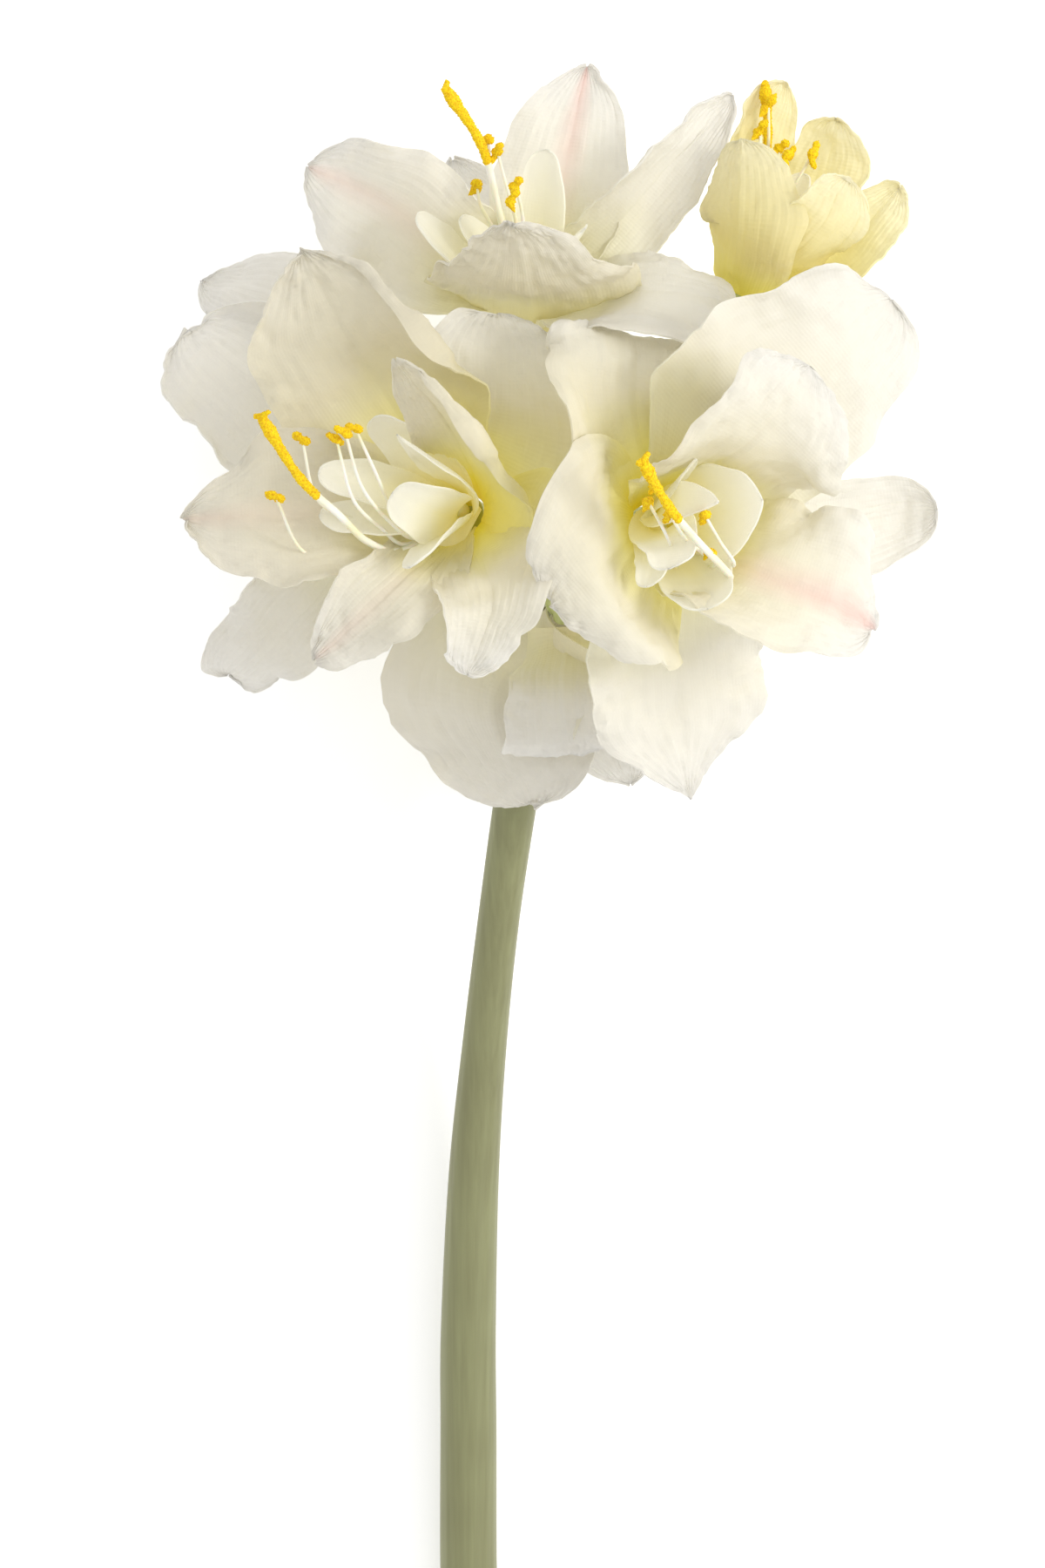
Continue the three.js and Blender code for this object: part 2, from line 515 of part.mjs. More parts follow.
settle('stem', stemBody(0), stemBody(clearance), paint.stem);
flowers.forEach((flower) => {
  settle(`${flower.name}_stalk`, stalkBody(flower, 0), stalkBody(flower, clearance), paint.stalk);
});
flowers.forEach((flower) => {
  settle(`${flower.name}_stamens`, stamenBody(flower, 0), stamenBody(flower, clearance), paint.stamen);
});
flowers.filter((flower) => flower.small.length > 0).forEach((flower) => {
  const roomy = heartBody(flower, clearance);
  settle(`${flower.name}_heart`, heartBody(flower, 0), roomy, paint.heart, heartStep);
});
flowers.forEach((flower) => {
  flower.petals.forEach((petal, k) => {
    const exact = sheet(petalRows(flower, petal, flower.across, flower.along, 0), petalThick);
    const rows = petalRows(flower, petal, flower.across, flower.along, clearance);
    const roomy = sheet(rows, petalThick + 2 * clearance);
    const look = flower.name === 'corner' ? paint.creamPetal : paint.petal;
    settle(`${flower.name}_petal_${k + 1}`, exact, roomy, look);
  });
});

export default group;
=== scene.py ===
import bpy
import math
import numpy as np
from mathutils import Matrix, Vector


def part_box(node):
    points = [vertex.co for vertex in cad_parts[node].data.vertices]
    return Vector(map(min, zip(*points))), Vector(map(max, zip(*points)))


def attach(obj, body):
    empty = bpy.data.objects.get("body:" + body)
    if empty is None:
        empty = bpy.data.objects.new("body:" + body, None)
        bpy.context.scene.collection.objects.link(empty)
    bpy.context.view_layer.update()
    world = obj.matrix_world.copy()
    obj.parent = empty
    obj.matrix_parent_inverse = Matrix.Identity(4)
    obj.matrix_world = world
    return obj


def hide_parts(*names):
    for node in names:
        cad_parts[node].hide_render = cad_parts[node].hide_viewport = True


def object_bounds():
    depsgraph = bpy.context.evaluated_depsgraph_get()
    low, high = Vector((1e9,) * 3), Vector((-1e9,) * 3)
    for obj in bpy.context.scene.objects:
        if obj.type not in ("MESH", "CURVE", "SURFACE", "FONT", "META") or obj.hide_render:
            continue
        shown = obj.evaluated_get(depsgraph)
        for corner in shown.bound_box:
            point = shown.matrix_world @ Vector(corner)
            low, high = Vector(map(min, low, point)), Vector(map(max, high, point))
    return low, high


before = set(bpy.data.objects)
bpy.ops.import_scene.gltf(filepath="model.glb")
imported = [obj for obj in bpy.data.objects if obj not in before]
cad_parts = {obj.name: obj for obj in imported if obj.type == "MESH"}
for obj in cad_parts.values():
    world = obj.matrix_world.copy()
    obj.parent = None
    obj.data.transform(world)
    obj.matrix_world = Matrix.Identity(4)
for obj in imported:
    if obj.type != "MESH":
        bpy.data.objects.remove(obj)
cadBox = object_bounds()

# shapes are laid out in millimetres around the point where the flower stalks meet, camera side up
headPlace = {"fromRight": -0.0072, "fromTop": 0.006, "fromFloor": 0.0852}  # metres, from the stem's box
stemLow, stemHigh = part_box("stem")
headOrigin = np.array([stemHigh.x + headPlace["fromRight"], stemHigh.y + headPlace["fromTop"],
                       stemLow.z + headPlace["fromFloor"]])


def toRow(points):  # millimetres around the head to metres in the row frame
    return np.asarray(points, float) / 1000 + headOrigin


def toLinear(hexColour):  # sRGB hex to linear, with a full alpha
    channels = [int(hexColour[i:i + 2], 16) / 255 for i in (1, 3, 5)]
    return tuple(c / 12.92 if c <= 0.04045 else ((c + 0.055) / 1.055) ** 2.4 for c in channels) + (1.0,)


def addNode(tree, kind, settings=None, inputs=()):
    # inputs go in order, by index or by name: a node or a socket is linked, anything else is set
    node = tree.nodes.new(kind)
    for key, value in (settings or {}).items():
        setattr(node, key, value)
    for key, value in inputs.items() if isinstance(inputs, dict) else enumerate(inputs):
        if isinstance(value, bpy.types.Node):
            value = value.outputs[0]
        if isinstance(value, bpy.types.NodeSocket):
            tree.links.new(value, node.inputs[key])
        else:
            node.inputs[key].default_value = value
    return node


# arithmetic nodes and their settings
maths = "ShaderNodeMath"
plus, minus, times, over, largest, smallest, power, absolute, sine = ({"operation": word} for word in (
    "ADD", "SUBTRACT", "MULTIPLY", "DIVIDE", "MAXIMUM", "MINIMUM", "POWER", "ABSOLUTE", "SINE"))


def unit(v):
    v = np.asarray(v, float)
    return v / np.maximum(np.linalg.norm(v, axis=-1, keepdims=True), 1e-9)


def ease(x):
    x = np.clip(x, 0, 1)
    return x * x * (3 - 2 * x)


petalForm = {  # what one petal may change
    "neck": 0.35, "wide": 0.55, "blunt": 2.2, "point": 0.75, "lead": 0.25,  # outline and rise
    "footCup": 55, "cup": 25, "lipCup": 10,  # degrees of curl across, foot to tip
    "left": (1, 1, 1, 1), "right": (1, 1, 1, 1),  # share of the outline at 0.25, 0.5, 0.75 and the tip
    "roll": (0, 0), "rollFrom": 0.6, "rollAt": 0.3,  # degrees the left and right rims roll over, and where
    "tipTurn": 0, "scallop": 0.05,  # degrees the tip bends, wavy outline
    "ruffle": 2.0, "waves": 1.5, "phase": 0.0,  # mm and turns along the rim
    "rim": 0.6, "keel": 0.6,  # mm: lifted edge, midrib groove
    "warm": 1.0, "blush": 0.0, "paintedShade": 0.0, "crinkle": 1.0,  # yellow throat, pink streak, painted shade as a deeper cream
}
petalRule = {  # what all petals share; lengths are shares of the petal unless they are given in mm
    "midribSteps": 60, "startPull": 2, "gather": 1.5,  # samples, pull of the first direction, rows near the tip
    "faceBy": 0.5, "tipFrom": 0.7, "tipOver": 0.3,  # where it has turned to its face, where the tip bends
    "footEnd": 0.4, "rollOver": 0.3, "leastHalf": 0.25,  # end of the foot's curl, start of the roll, mm
    "scallopTurns": 3.1, "scallopPhase": 1.3, "scallopShift": 2.0,  # the left rim is out of step by the shift
    "waveShift": 1.7, "wavePower": 2.5, "freeFrom": 0.15, "freeOver": 0.35,
    "fineTurns": 5.3, "finePhase": 2.1, "fineLeft": 0.9, "fineRight": 2.3, "fineShare": 0.3, "finePower": 5,
    "rimFrom": 0.7, "rimOver": 0.3, "keelHalf": 1.6, "keelFoot": 0.2, "keelEnd": 1.02, "keelTip": 0.3,
}
petalCuts = {"across": 44, "along": 60, "smallAcross": 18, "smallAlong": 26}


def outline(t, form):
    rise = form["neck"] + (1 - form["neck"]) * np.sin(np.pi / 2 * np.clip(t / form["wide"], 0, 1))
    u = np.clip((t - form["wide"]) / (1 - form["wide"]), 0, 1)
    fall = np.maximum(1 - u ** form["blunt"], 0) ** form["point"]
    return np.where(t < form["wide"], rise, fall)


def smoothLine(points, steps, start=None):  # Catmull-Rom through the points
    p = np.asarray(points, float)
    p = np.vstack([2 * p[0] - p[1] if start is None else p[1] - 2 * np.asarray(start), p, 2 * p[-1] - p[-2]])
    out = []
    for k in range(1, len(p) - 2):
        for u in np.linspace(0, 1, steps, endpoint=False):
            out.append(0.5 * (2 * p[k] + (p[k + 1] - p[k - 1]) * u
                              + (2 * p[k - 1] - 5 * p[k] + 4 * p[k + 1] - p[k + 2]) * u * u
                              + (3 * p[k] - p[k - 1] - 3 * p[k + 1] + p[k + 2]) * u ** 3))
    out.append(p[-2])
    return np.array(out)


def petalMidrib(flower, form, t):  # the line down the middle, its across and up directions, and its length
    axis, throat = unit(flower["axis"]), np.array(flower["throat"], float)
    mid, tip = np.array(form["mid"], float), np.array(form["tip"], float)
    out = np.array(form["out"], float) if "out" in form else mid - throat
    side = unit(out - axis * np.dot(out, axis))
    foot = throat + side * form["ring"]
    flare = math.radians(flower["flare"])
    start = axis * math.cos(flare) + side * math.sin(flare)
    reachOut = np.linalg.norm(mid - foot) + np.linalg.norm(tip - mid)
    dense = smoothLine([foot, mid, tip], petalRule["midribSteps"],
                       start * reachOut * petalRule["startPull"] * form["lead"])
    gone = np.concatenate([[0], np.cumsum(np.linalg.norm(np.diff(dense, axis=0), axis=1))])
    length = gone[-1]
    line = np.stack([np.interp(t[:, 0] * length, gone, dense[:, k]) for k in range(3)], -1)
    run = unit(np.gradient(line, axis=0))
    wish = np.repeat(np.cross(axis, side)[None], len(t), axis=0)
    if "face" in form:
        halfWay = unit(run[np.searchsorted(t[:, 0], petalRule["faceBy"])])
        face = np.array(form["face"], float)
        turned = np.cross(unit(face - halfWay * np.dot(face, halfWay)), halfWay)
        turning = ease(t / petalRule["faceBy"])
        wish = wish * (1 - turning) + turned * turning
    lateral = unit(wish - run * np.sum(run * wish, -1, keepdims=True))
    up = unit(np.cross(run, lateral))
    if form["tipTurn"]:
        back = np.radians(form["tipTurn"]) * ease((t - petalRule["tipFrom"]) / petalRule["tipOver"])
        step = np.diff(line, axis=0)
        step = step * np.cos(back[1:]) + up[1:] * np.linalg.norm(step, axis=-1, keepdims=True) * np.sin(back[1:])
        line = np.vstack([line[:1], line[0] + np.cumsum(step, axis=0)])
        up = up * np.cos(back) - run * np.sin(back)
    return line, lateral, up, length


def petalCurl(form, t, s, half):  # how far each point lies out across the midrib and above it
    footEnd, across = petalRule["footEnd"], s.shape[1] - 1
    inner = form["footCup"] + (form["cup"] - form["footCup"]) * ease(t / footEnd)
    outer = form["cup"] + (form["lipCup"] - form["cup"]) * ease((t - footEnd) / (1 - footEnd))
    bend = np.radians(np.where(t < footEnd, inner, outer))
    rolling = np.radians(np.where(s > 0, *form["roll"])) * ease((t - form["rollAt"]) / petalRule["rollOver"])
    angle = bend * s + np.sign(s) * rolling * ease((np.abs(s) - form["rollFrom"]) / (1 - form["rollFrom"]))
    between = (angle[:, 1:] + angle[:, :-1]) / 2
    stepOut = half * 2 / across
    sums = [np.cumsum(way(between) * (stepOut[:, 1:] + stepOut[:, :-1]) / 2, axis=1) for way in (np.cos, np.sin)]
    middle = across // 2
    sums = [np.hstack([np.zeros((len(t), 1)), v]) for v in sums]
    return [v - v[:, middle:middle + 1] for v in sums]


def petalRipple(form, t, s, half):  # ruffles along the rims, a lifted edge and a groove down the midrib
    rule = petalRule
    wave = np.sin(2 * np.pi * form["waves"] * t + form["phase"] + np.where(s > 0, rule["waveShift"], 0))
    fine = np.sin(2 * np.pi * rule["fineTurns"] * t + rule["finePhase"] * form["phase"]
                  + np.where(s > 0, rule["fineLeft"], rule["fineRight"]))
    free = ease((t - rule["freeFrom"]) / rule["freeOver"])
    coarse = form["ruffle"] * np.abs(s) ** rule["wavePower"] * wave
    lift = free * np.sqrt(np.clip(half / form["half"], 0, 1)) * (
        coarse + rule["fineShare"] * form["ruffle"] * np.abs(s) ** rule["finePower"] * fine)
    lift = lift + form["rim"] * ease((np.abs(s) - rule["rimFrom"]) / rule["rimOver"]) ** 2 * free
    groove = form["keel"] * np.exp(-(s * half / rule["keelHalf"]) ** 2)
    return lift - groove * ease(t / rule["keelFoot"]) * ease((rule["keelEnd"] - t) / rule["keelTip"])


def petalRows(flower, petal, across, along):
    form = {**petalForm, "ring": flower["ring"], **petal}
    t = (1 - (1 - np.linspace(0, 1, along + 1)) ** petalRule["gather"])[:, None]
    s = np.linspace(-1, 1, across + 1)[None]
    line, lateral, up, length = petalMidrib(flower, form, t)
    stations = (0.0, 0.25, 0.5, 0.75, 1.0)
    right, left = (np.interp(t[:, 0], stations, (1, *form[key]))[:, None] for key in ("right", "left"))
    notch = (2 * np.pi * petalRule["scallopTurns"] * t + petalRule["scallopPhase"] * form["phase"]
             + np.where(s > 0, petalRule["scallopShift"], 0))
    scallop = 1 + form["scallop"] * np.sin(notch) * t
    half = np.maximum(form["half"] * outline(t, form) * scallop * np.where(s < 0, right, left),
                      petalRule["leastHalf"])
    reach, rise = petalCurl(form, t, s, half)
    lift = rise + petalRipple(form, t, s, half)
    points = line[:, None] + lateral[:, None] * reach[..., None] + up[:, None] * lift[..., None]
    return points, np.repeat(s, along + 1, axis=0), np.repeat(t, across + 1, axis=1), length, form


clothTile = 100  # millimetres of cloth for one unit of its UV


def petalMesh(name, sheets):  # one mesh of petal sheets, each with its own across/along values and cloth UV
    verts, faces, uvs, values = [], [], [], {"across": [], "along": [], "warm": [], "blush": [], "paintedShade": []}
    for points, s, t, length, form in sheets:
        rows, cols = s.shape
        index = len(verts) + np.arange(rows * cols).reshape(rows, cols)
        verts.extend(toRow(points.reshape(-1, 3)).tolist())
        quads = np.stack([index[:-1, :-1], index[:-1, 1:], index[1:, 1:], index[1:, :-1]], -1).reshape(-1, 4)
        faces.extend(quads.tolist())
        cloth = np.stack([s * form["half"] / clothTile + 0.5, t * length / clothTile], -1)
        uvs.extend(cloth.reshape(-1, 2).tolist())
        values["across"].extend(s.ravel())
        values["along"].extend(t.ravel())
        # per-petal shares: yellow throat, pink streak and painted shade
        for key in ("warm", "blush", "paintedShade"):
            values[key].extend([form[key]] * (rows * cols))
    mesh = bpy.data.meshes.new(name)
    mesh.from_pydata(verts, [], faces)
    layer = mesh.uv_layers.new(name="cloth")
    corner = np.zeros(len(mesh.loops), int)
    mesh.loops.foreach_get("vertex_index", corner)
    layer.data.foreach_set("uv", np.asarray(uvs)[corner].ravel())
    for key, numbers in values.items():
        mesh.attributes.new(key, "FLOAT", "POINT").data.foreach_set("value", np.asarray(numbers, float))
    piece = bpy.data.objects.new(name, mesh)
    bpy.context.scene.collection.objects.link(piece)
    shadeSmooth(piece)
    return piece


def shadeSmooth(piece):
    piece.data.polygons.foreach_set("use_smooth", [True] * len(piece.data.polygons))


# the flowers, in millimetres around the head; ring is the throat's radius and flare its opening in degrees
# a petal's painted-shade share darkens it towards a deeper cream where it lay in less light
leftFlower = {
    "name": "left", "throat": (-23, 20, 38), "axis": (-0.48, 0.22, 0.85), "ring": 7, "flare": 20,
    "petals": [
        {"mid": (-26, 43, 82), "tip": (-46, 69, 92), "half": 17, "face": (-0.5, -0.35, 0.8), "point": 0.6,
         "lead": 0.35, "left": (1.2, 1, 0.9, 1), "right": (2.2, 1.5, 1.1, 1), "roll": (0, 140),
         "rollFrom": 0.62, "ruffle": 2.4, "phase": 1, "warm": 1.4, "paintedShade": 0.1},
        {"mid": (-15, -11, 84), "tip": (-23, -35, 74), "half": 19, "face": (-0.1, 0.3, 0.95), "point": 0.45,
         "lead": 0.4, "lipCup": 20, "left": (2.6, 1.65, 0.7, 1), "right": (1, 0.95, 0.95, 1),
         "roll": (-40, 30), "ruffle": 2.2, "phase": 2},
        {"mid": (-48, -6, 80), "tip": (-73, -30, 72), "half": 16, "face": (-0.2, 0.3, 0.9), "point": 0.5,
         "cup": 30, "left": (1.2, 1.35, 1.25, 1.1), "right": (1, 0.9, 0.9, 1), "roll": (-95, 30),
         "rollFrom": 0.35, "ruffle": 3, "phase": 0.6, "warm": 0.8, "blush": 0.4, "paintedShade": 0.15},
        {"mid": (-70, 20, 58), "tip": (-119, 17, 58), "half": 30, "point": 0.7, "cup": 35, "lipCup": 15,
         "right": (0.9, 0.95, 0.9, 0.8), "scallop": 0.08, "ruffle": 4.6, "waves": 1.9, "phase": 0.4,
         "warm": 0.7, "blush": 0.4, "paintedShade": 0.3},
        {"mid": (-56, 68, 56), "tip": (-79, 109, 62), "half": 36, "point": 0.72, "cup": 35, "lipCup": 20,
         "left": (1, 1, 1.12, 0.85), "right": (1.2, 1.15, 1.05, 0.8), "roll": (0, 140), "rollFrom": 0.64,
         "ruffle": 3.6, "waves": 1.6, "phase": 2.5, "warm": 1.1, "crinkle": 1.4, "paintedShade": 0.3},
        {"mid": (-13, 55, 48), "tip": (-13, 92, 42), "half": 24, "face": (0, -0.3, 0.95), "blunt": 3,
         "point": 0.4, "left": (1, 1.1, 1.15, 1), "right": (2, 1.2, 0.95, 1), "roll": (0, -40),
         "tipTurn": -45, "ruffle": 3, "phase": 3.2, "warm": 0.8},
    ],
    "small": [
        {"mid": (-37, 20, 76), "tip": (-48, 25, 84), "half": 11, "point": 0.35, "face": (-0.3, 0, 0.95)},
        {"mid": (-38, 40, 62), "tip": (-54, 51, 72), "half": 12, "point": 0.35},
        {"mid": (-28, 32, 70), "tip": (-46, 44, 92), "half": 10, "point": 0.9, "face": (-0.6, -0.3, 0.7)},
        {"mid": (-49, 16, 62), "tip": (-73, 18, 66), "half": 9, "point": 0.4},
        {"mid": (-51, 28, 62), "tip": (-73, 32, 72), "half": 8, "point": 0.4},
        {"mid": (-32, 10, 72), "tip": (-42, 0, 88), "half": 9, "point": 0.4},
    ],
    "stamens": [  # the style first
        ((-44, 7, 62), (-56, 9, 72), (-66, 18, 86), (-78, 29, 104), (-90, 48, 118)),
        ((-43, 9, 60), (-52, 14, 72), (-61, 23, 86), (-66, 42, 100)),
        ((-40, 11, 62), (-49, 16, 74), (-58, 27, 88), (-63, 44, 104)),
        ((-40, 14, 62), (-48, 20, 72), (-54, 33, 84), (-60, 46, 94)),
        ((-43, 13, 56), (-57, 16, 62), (-73, 23, 72), (-78, 43, 84)),
        ((-43, 8, 54), (-60, 4, 60), (-78, 6, 68), (-87, 24, 80)),
    ],
}

rightFlower = {
    "name": "right", "throat": (39, 17, 40), "axis": (0.5, 0, 0.87), "ring": 7, "flare": 20,
    "petals": [
        {"mid": (23, 2, 84), "tip": (7, -15, 94), "half": 33, "blunt": 2.6, "point": 0.5,
         "left": (1.15, 1.3, 1.3, 1.2), "right": (1.2, 1.3, 1.1, 0.8), "roll": (-50, -50), "rollFrom": 0.75,
         "tipTurn": -60, "ruffle": 2.6, "waves": 1.2, "phase": 1.2, "warm": 1.15},
        {"mid": (68, 40, 84), "tip": (96, 63, 94), "half": 31, "blunt": 3.5, "point": 0.45,
         "left": (1, 0.9, 0.9, 1), "right": (1.1, 1.15, 1.2, 1.1), "roll": (-50, -20), "rollFrom": 0.68,
         "tipTurn": -40, "ruffle": 3.4, "phase": 0.5, "crinkle": 1.2},
        {"mid": (77, -3, 76), "tip": (118, -18, 72), "half": 29, "blunt": 2.6, "point": 0.55,
         "left": (1.05, 1.1, 1.2, 1.3), "right": (1, 1, 0.75, 0.75), "roll": (-30, -30), "tipTurn": -40,
         "ruffle": 3.6, "waves": 2, "phase": 2.2, "blush": 1, "crinkle": 1.2},
        {"mid": (47, -33, 32), "tip": (53, -77, 12), "half": 35, "neck": 0.7, "blunt": 2.4, "cup": 20,
         "lipCup": 5, "left": (1, 1.02, 1.08, 0.4), "right": (1.2, 1.05, 0.85, 0.35), "roll": (-40, -20),
         "ruffle": 4.2, "waves": 2.2, "phase": 1.7, "warm": 0.35, "crinkle": 1.2},
        {"mid": (35, 54, 64), "tip": (36, 90, 54), "half": 36, "neck": 0.5, "blunt": 2.8, "point": 0.42,
         "left": (1.1, 1, 1, 1), "right": (1.1, 1, 0.95, 0.95), "roll": (-50, -40), "rollFrom": 0.7,
         "tipTurn": -70, "scallop": 0.09, "ruffle": 6, "waves": 1.7, "phase": 0.9, "warm": 1.1,
         "crinkle": 1.1},
        {"mid": (84, 54, 48), "tip": (125, 93, 42), "half": 32, "blunt": 3, "point": 0.5,
         "left": (1.9, 1.5, 1.15, 1), "right": (1, 0.9, 0.9, 0.95), "roll": (0, -30), "tipTurn": -25,
         "scallop": 0.08, "ruffle": 4.6, "waves": 2.1, "phase": 1.4, "warm": 0.4},
        {"mid": (94, 14, 22), "tip": (136, 24, -2), "half": 17, "blunt": 3, "point": 0.4, "tipTurn": 60,
         "ruffle": 2.6, "phase": 0.3, "warm": 0.3},
    ],
    "small": [
        {"mid": (40, 4, 74), "tip": (37, -6, 84), "half": 7, "point": 0.3, "face": (-0.2, 0.2, 0.95)},
        {"mid": (45, 9, 84), "tip": (44, -1, 98), "half": 11, "point": 0.3, "face": (0, 0.2, 0.95)},
        {"mid": (53, -2, 70), "tip": (57, -14, 92), "half": 13, "point": 0.35, "face": (0, 0.4, 0.9)},
        {"mid": (61, 19, 70), "tip": (75, 22, 96), "half": 17, "point": 0.6, "face": (-0.5, -0.1, 0.85)},
        {"mid": (49, 21, 84), "tip": (60, 21, 104), "half": 8, "point": 0.9, "face": (0, 0.2, 0.95)},
        {"mid": (45, 27, 70), "tip": (53, 36, 84), "half": 5, "point": 0.4},
    ],
    "stamens": [  # the style first
        ((51, 5, 56), (65, -3, 78), (53, 9, 98), (43, 20, 112), (35, 33, 122)),
        ((51, 7, 56), (66, 1, 76), (61, 9, 88), (56, 17, 96)),
        ((50, 9, 56), (58, 4, 72), (50, 9, 92), (44, 17, 104)),
        ((49, 10, 56), (54, 10, 72), (46, 15, 92), (39, 26, 108)),
        ((50, 5, 56), (58, 1, 68), (60, 2, 80), (58, 5, 88)),
        ((47, 5, 54), (47, 1, 70), (44, 9, 92), (37, 21, 106)),
    ],
}

topFlower = {
    "name": "top", "throat": (-1, 88, 2), "axis": (0, 0.75, 0.66), "ring": 7, "flare": 20,
    "petals": [
        {"mid": (-4, 99, 52), "tip": (-7, 121, 74), "half": 38, "neck": 0.85, "wide": 0.3, "blunt": 1.8,
         "point": 0.72, "left": (1.08, 1.03, 0.92, 0.8), "right": (1, 0.92, 0.9, 0.85), "roll": (40, -40),
         "rollFrom": 0.72, "tipTurn": -40, "ruffle": 3.6, "phase": 2.4, "warm": 0.6, "crinkle": 1.6,
         "paintedShade": 0.23},
        {"mid": (38, 97, 32), "tip": (76, 93, 26), "half": 22, "blunt": 3, "point": 0.5,
         "left": (1, 0.95, 0.8, 0.8), "right": (1.5, 1.8, 1.7, 1.5), "roll": (-60, 0), "tipTurn": -40,
         "ruffle": 2.2, "phase": 0.8, "warm": 0.3},
        {"mid": (-44, 123, 16), "tip": (-78, 141, 16), "half": 23, "face": (0, -0.3, 0.95), "blunt": 2.6,
         "point": 0.5, "cup": 20, "left": (1.2, 1.2, 1.15, 1), "right": (1, 1, 0.95, 0.9), "roll": (0, -40),
         "scallop": 0.09, "ruffle": 4.6, "waves": 2.3, "phase": 1.9, "warm": 0.4, "blush": 0.4},
        {"mid": (41, 135, 12), "tip": (68, 167, 6), "half": 16, "face": (0.2, -0.4, 0.9), "point": 0.55,
         "cup": 60, "lipCup": 70, "left": (1.2, 1.15, 1, 1), "right": (1.2, 1, 0.9, 1), "ruffle": 1.8,
         "phase": 0.9, "warm": 0.3},
        {"mid": (10, 138, 6), "tip": (18, 178, -4), "half": 22, "face": (0, -0.3, 0.95), "point": 0.7,
         "left": (1.2, 1.15, 1, 0.9), "right": (1.1, 1, 0.95, 0.9), "roll": (-30, 0), "ruffle": 2.8,
         "waves": 1.8, "phase": 2.8, "warm": 0.4, "blush": 1},
        {"mid": (-17, 121, -18), "tip": (-29, 149, -34), "half": 16, "warm": 0.3},
    ],
    "small": [
        {"mid": (-25, 105, 22), "tip": (-41, 121, 34), "half": 14, "point": 0.35},
        {"mid": (2, 119, 22), "tip": (4, 145, 34), "half": 10, "point": 0.4},
        {"mid": (-17, 111, 18), "tip": (-26, 122, 26), "half": 8, "point": 0.4},
        {"mid": (10, 107, 26), "tip": (17, 117, 40), "half": 9, "point": 0.4},
    ],
    "stamens": [  # the style first
        ((-6, 102, 20), (-12, 121, 40), (-18, 143, 58), (-30, 161, 70)),
        ((-6, 102, 20), (-11, 121, 36), (-15, 135, 46), (-16, 146, 54)),
        ((-5, 102, 20), (-7, 121, 38), (-10, 131, 48), (-13, 142, 56)),
        ((-4, 102, 22), (-4, 115, 44), (-5, 123, 54), (-7, 130, 62)),
        ((-4, 102, 24), (-6, 111, 48), (-7, 119, 60), (-8, 125, 68)),
        ((-7, 102, 18), (-15, 119, 30), (-19, 126, 36), (-20, 132, 40)),
    ],
}

cornerFlower = {
    "name": "corner", "throat": (71, 99, 0), "axis": (0.42, 0.88, 0.2), "ring": 6, "flare": 25,
    "petals": [
        {"mid": (70, 118, 30), "tip": (71, 149, 26), "half": 21, "out": (-0.5, 0.2, 0.85), "neck": 0.8,
         "point": 0.5, "cup": 45, "lipCup": 30, "ruffle": 2.2, "phase": 0.7},
        {"mid": (97, 116, 26), "tip": (108, 135, 28), "half": 17, "out": (0.6, -0.2, 0.75), "neck": 0.7,
         "blunt": 4, "point": 0.5, "cup": 40, "lipCup": 15, "roll": (-50, -50), "phase": 1.4},
        {"mid": (107, 113, 6), "tip": (126, 135, 6), "half": 17, "face": (-0.5, 0.3, 0.8),
         "out": (0.9, -0.4, 0), "point": 0.65, "phase": 2.4},
        {"mid": (74, 146, -12), "tip": (87, 173, -8), "half": 18, "out": (-0.6, 0.3, -0.6), "point": 0.6,
         "phase": 0.4},
        {"mid": (100, 137, -12), "tip": (105, 160, -10), "half": 18, "out": (0.5, 0, -0.8), "blunt": 3,
         "point": 0.5, "phase": 3},
        {"mid": (72, 135, -26), "tip": (71, 155, -28), "half": 15, "out": (-0.8, 0.4, -0.4)},
    ],
    "small": [
        {"mid": (82, 128, 0), "tip": (88, 138, 4), "half": 8, "point": 0.4, "out": (-0.3, 0.2, 0.8)},
        {"mid": (88, 129, -6), "tip": (94, 141, -8), "half": 8, "point": 0.4, "out": (0.6, 0.2, -0.6)},
    ],
    "stamens": [  # the style first
        ((77, 113, -4), (79, 134, -4), (81, 153, -4), (80, 171, -2)),
        ((77, 113, 2), (82, 127, 6), (83, 136, 10), (87, 145, 14)),
        ((78, 113, 0), (85, 128, 4), (90, 136, 8), (96, 146, 12)),
        ((77, 113, 0), (81, 128, 0), (83, 140, 2), (85, 149, 4)),
        ((77, 113, 0), (79, 128, 2), (78, 140, 4), (78, 155, 6)),
        ((77, 113, -2), (79, 134, 0), (81, 149, 0), (81, 164, 2)),
    ],
}

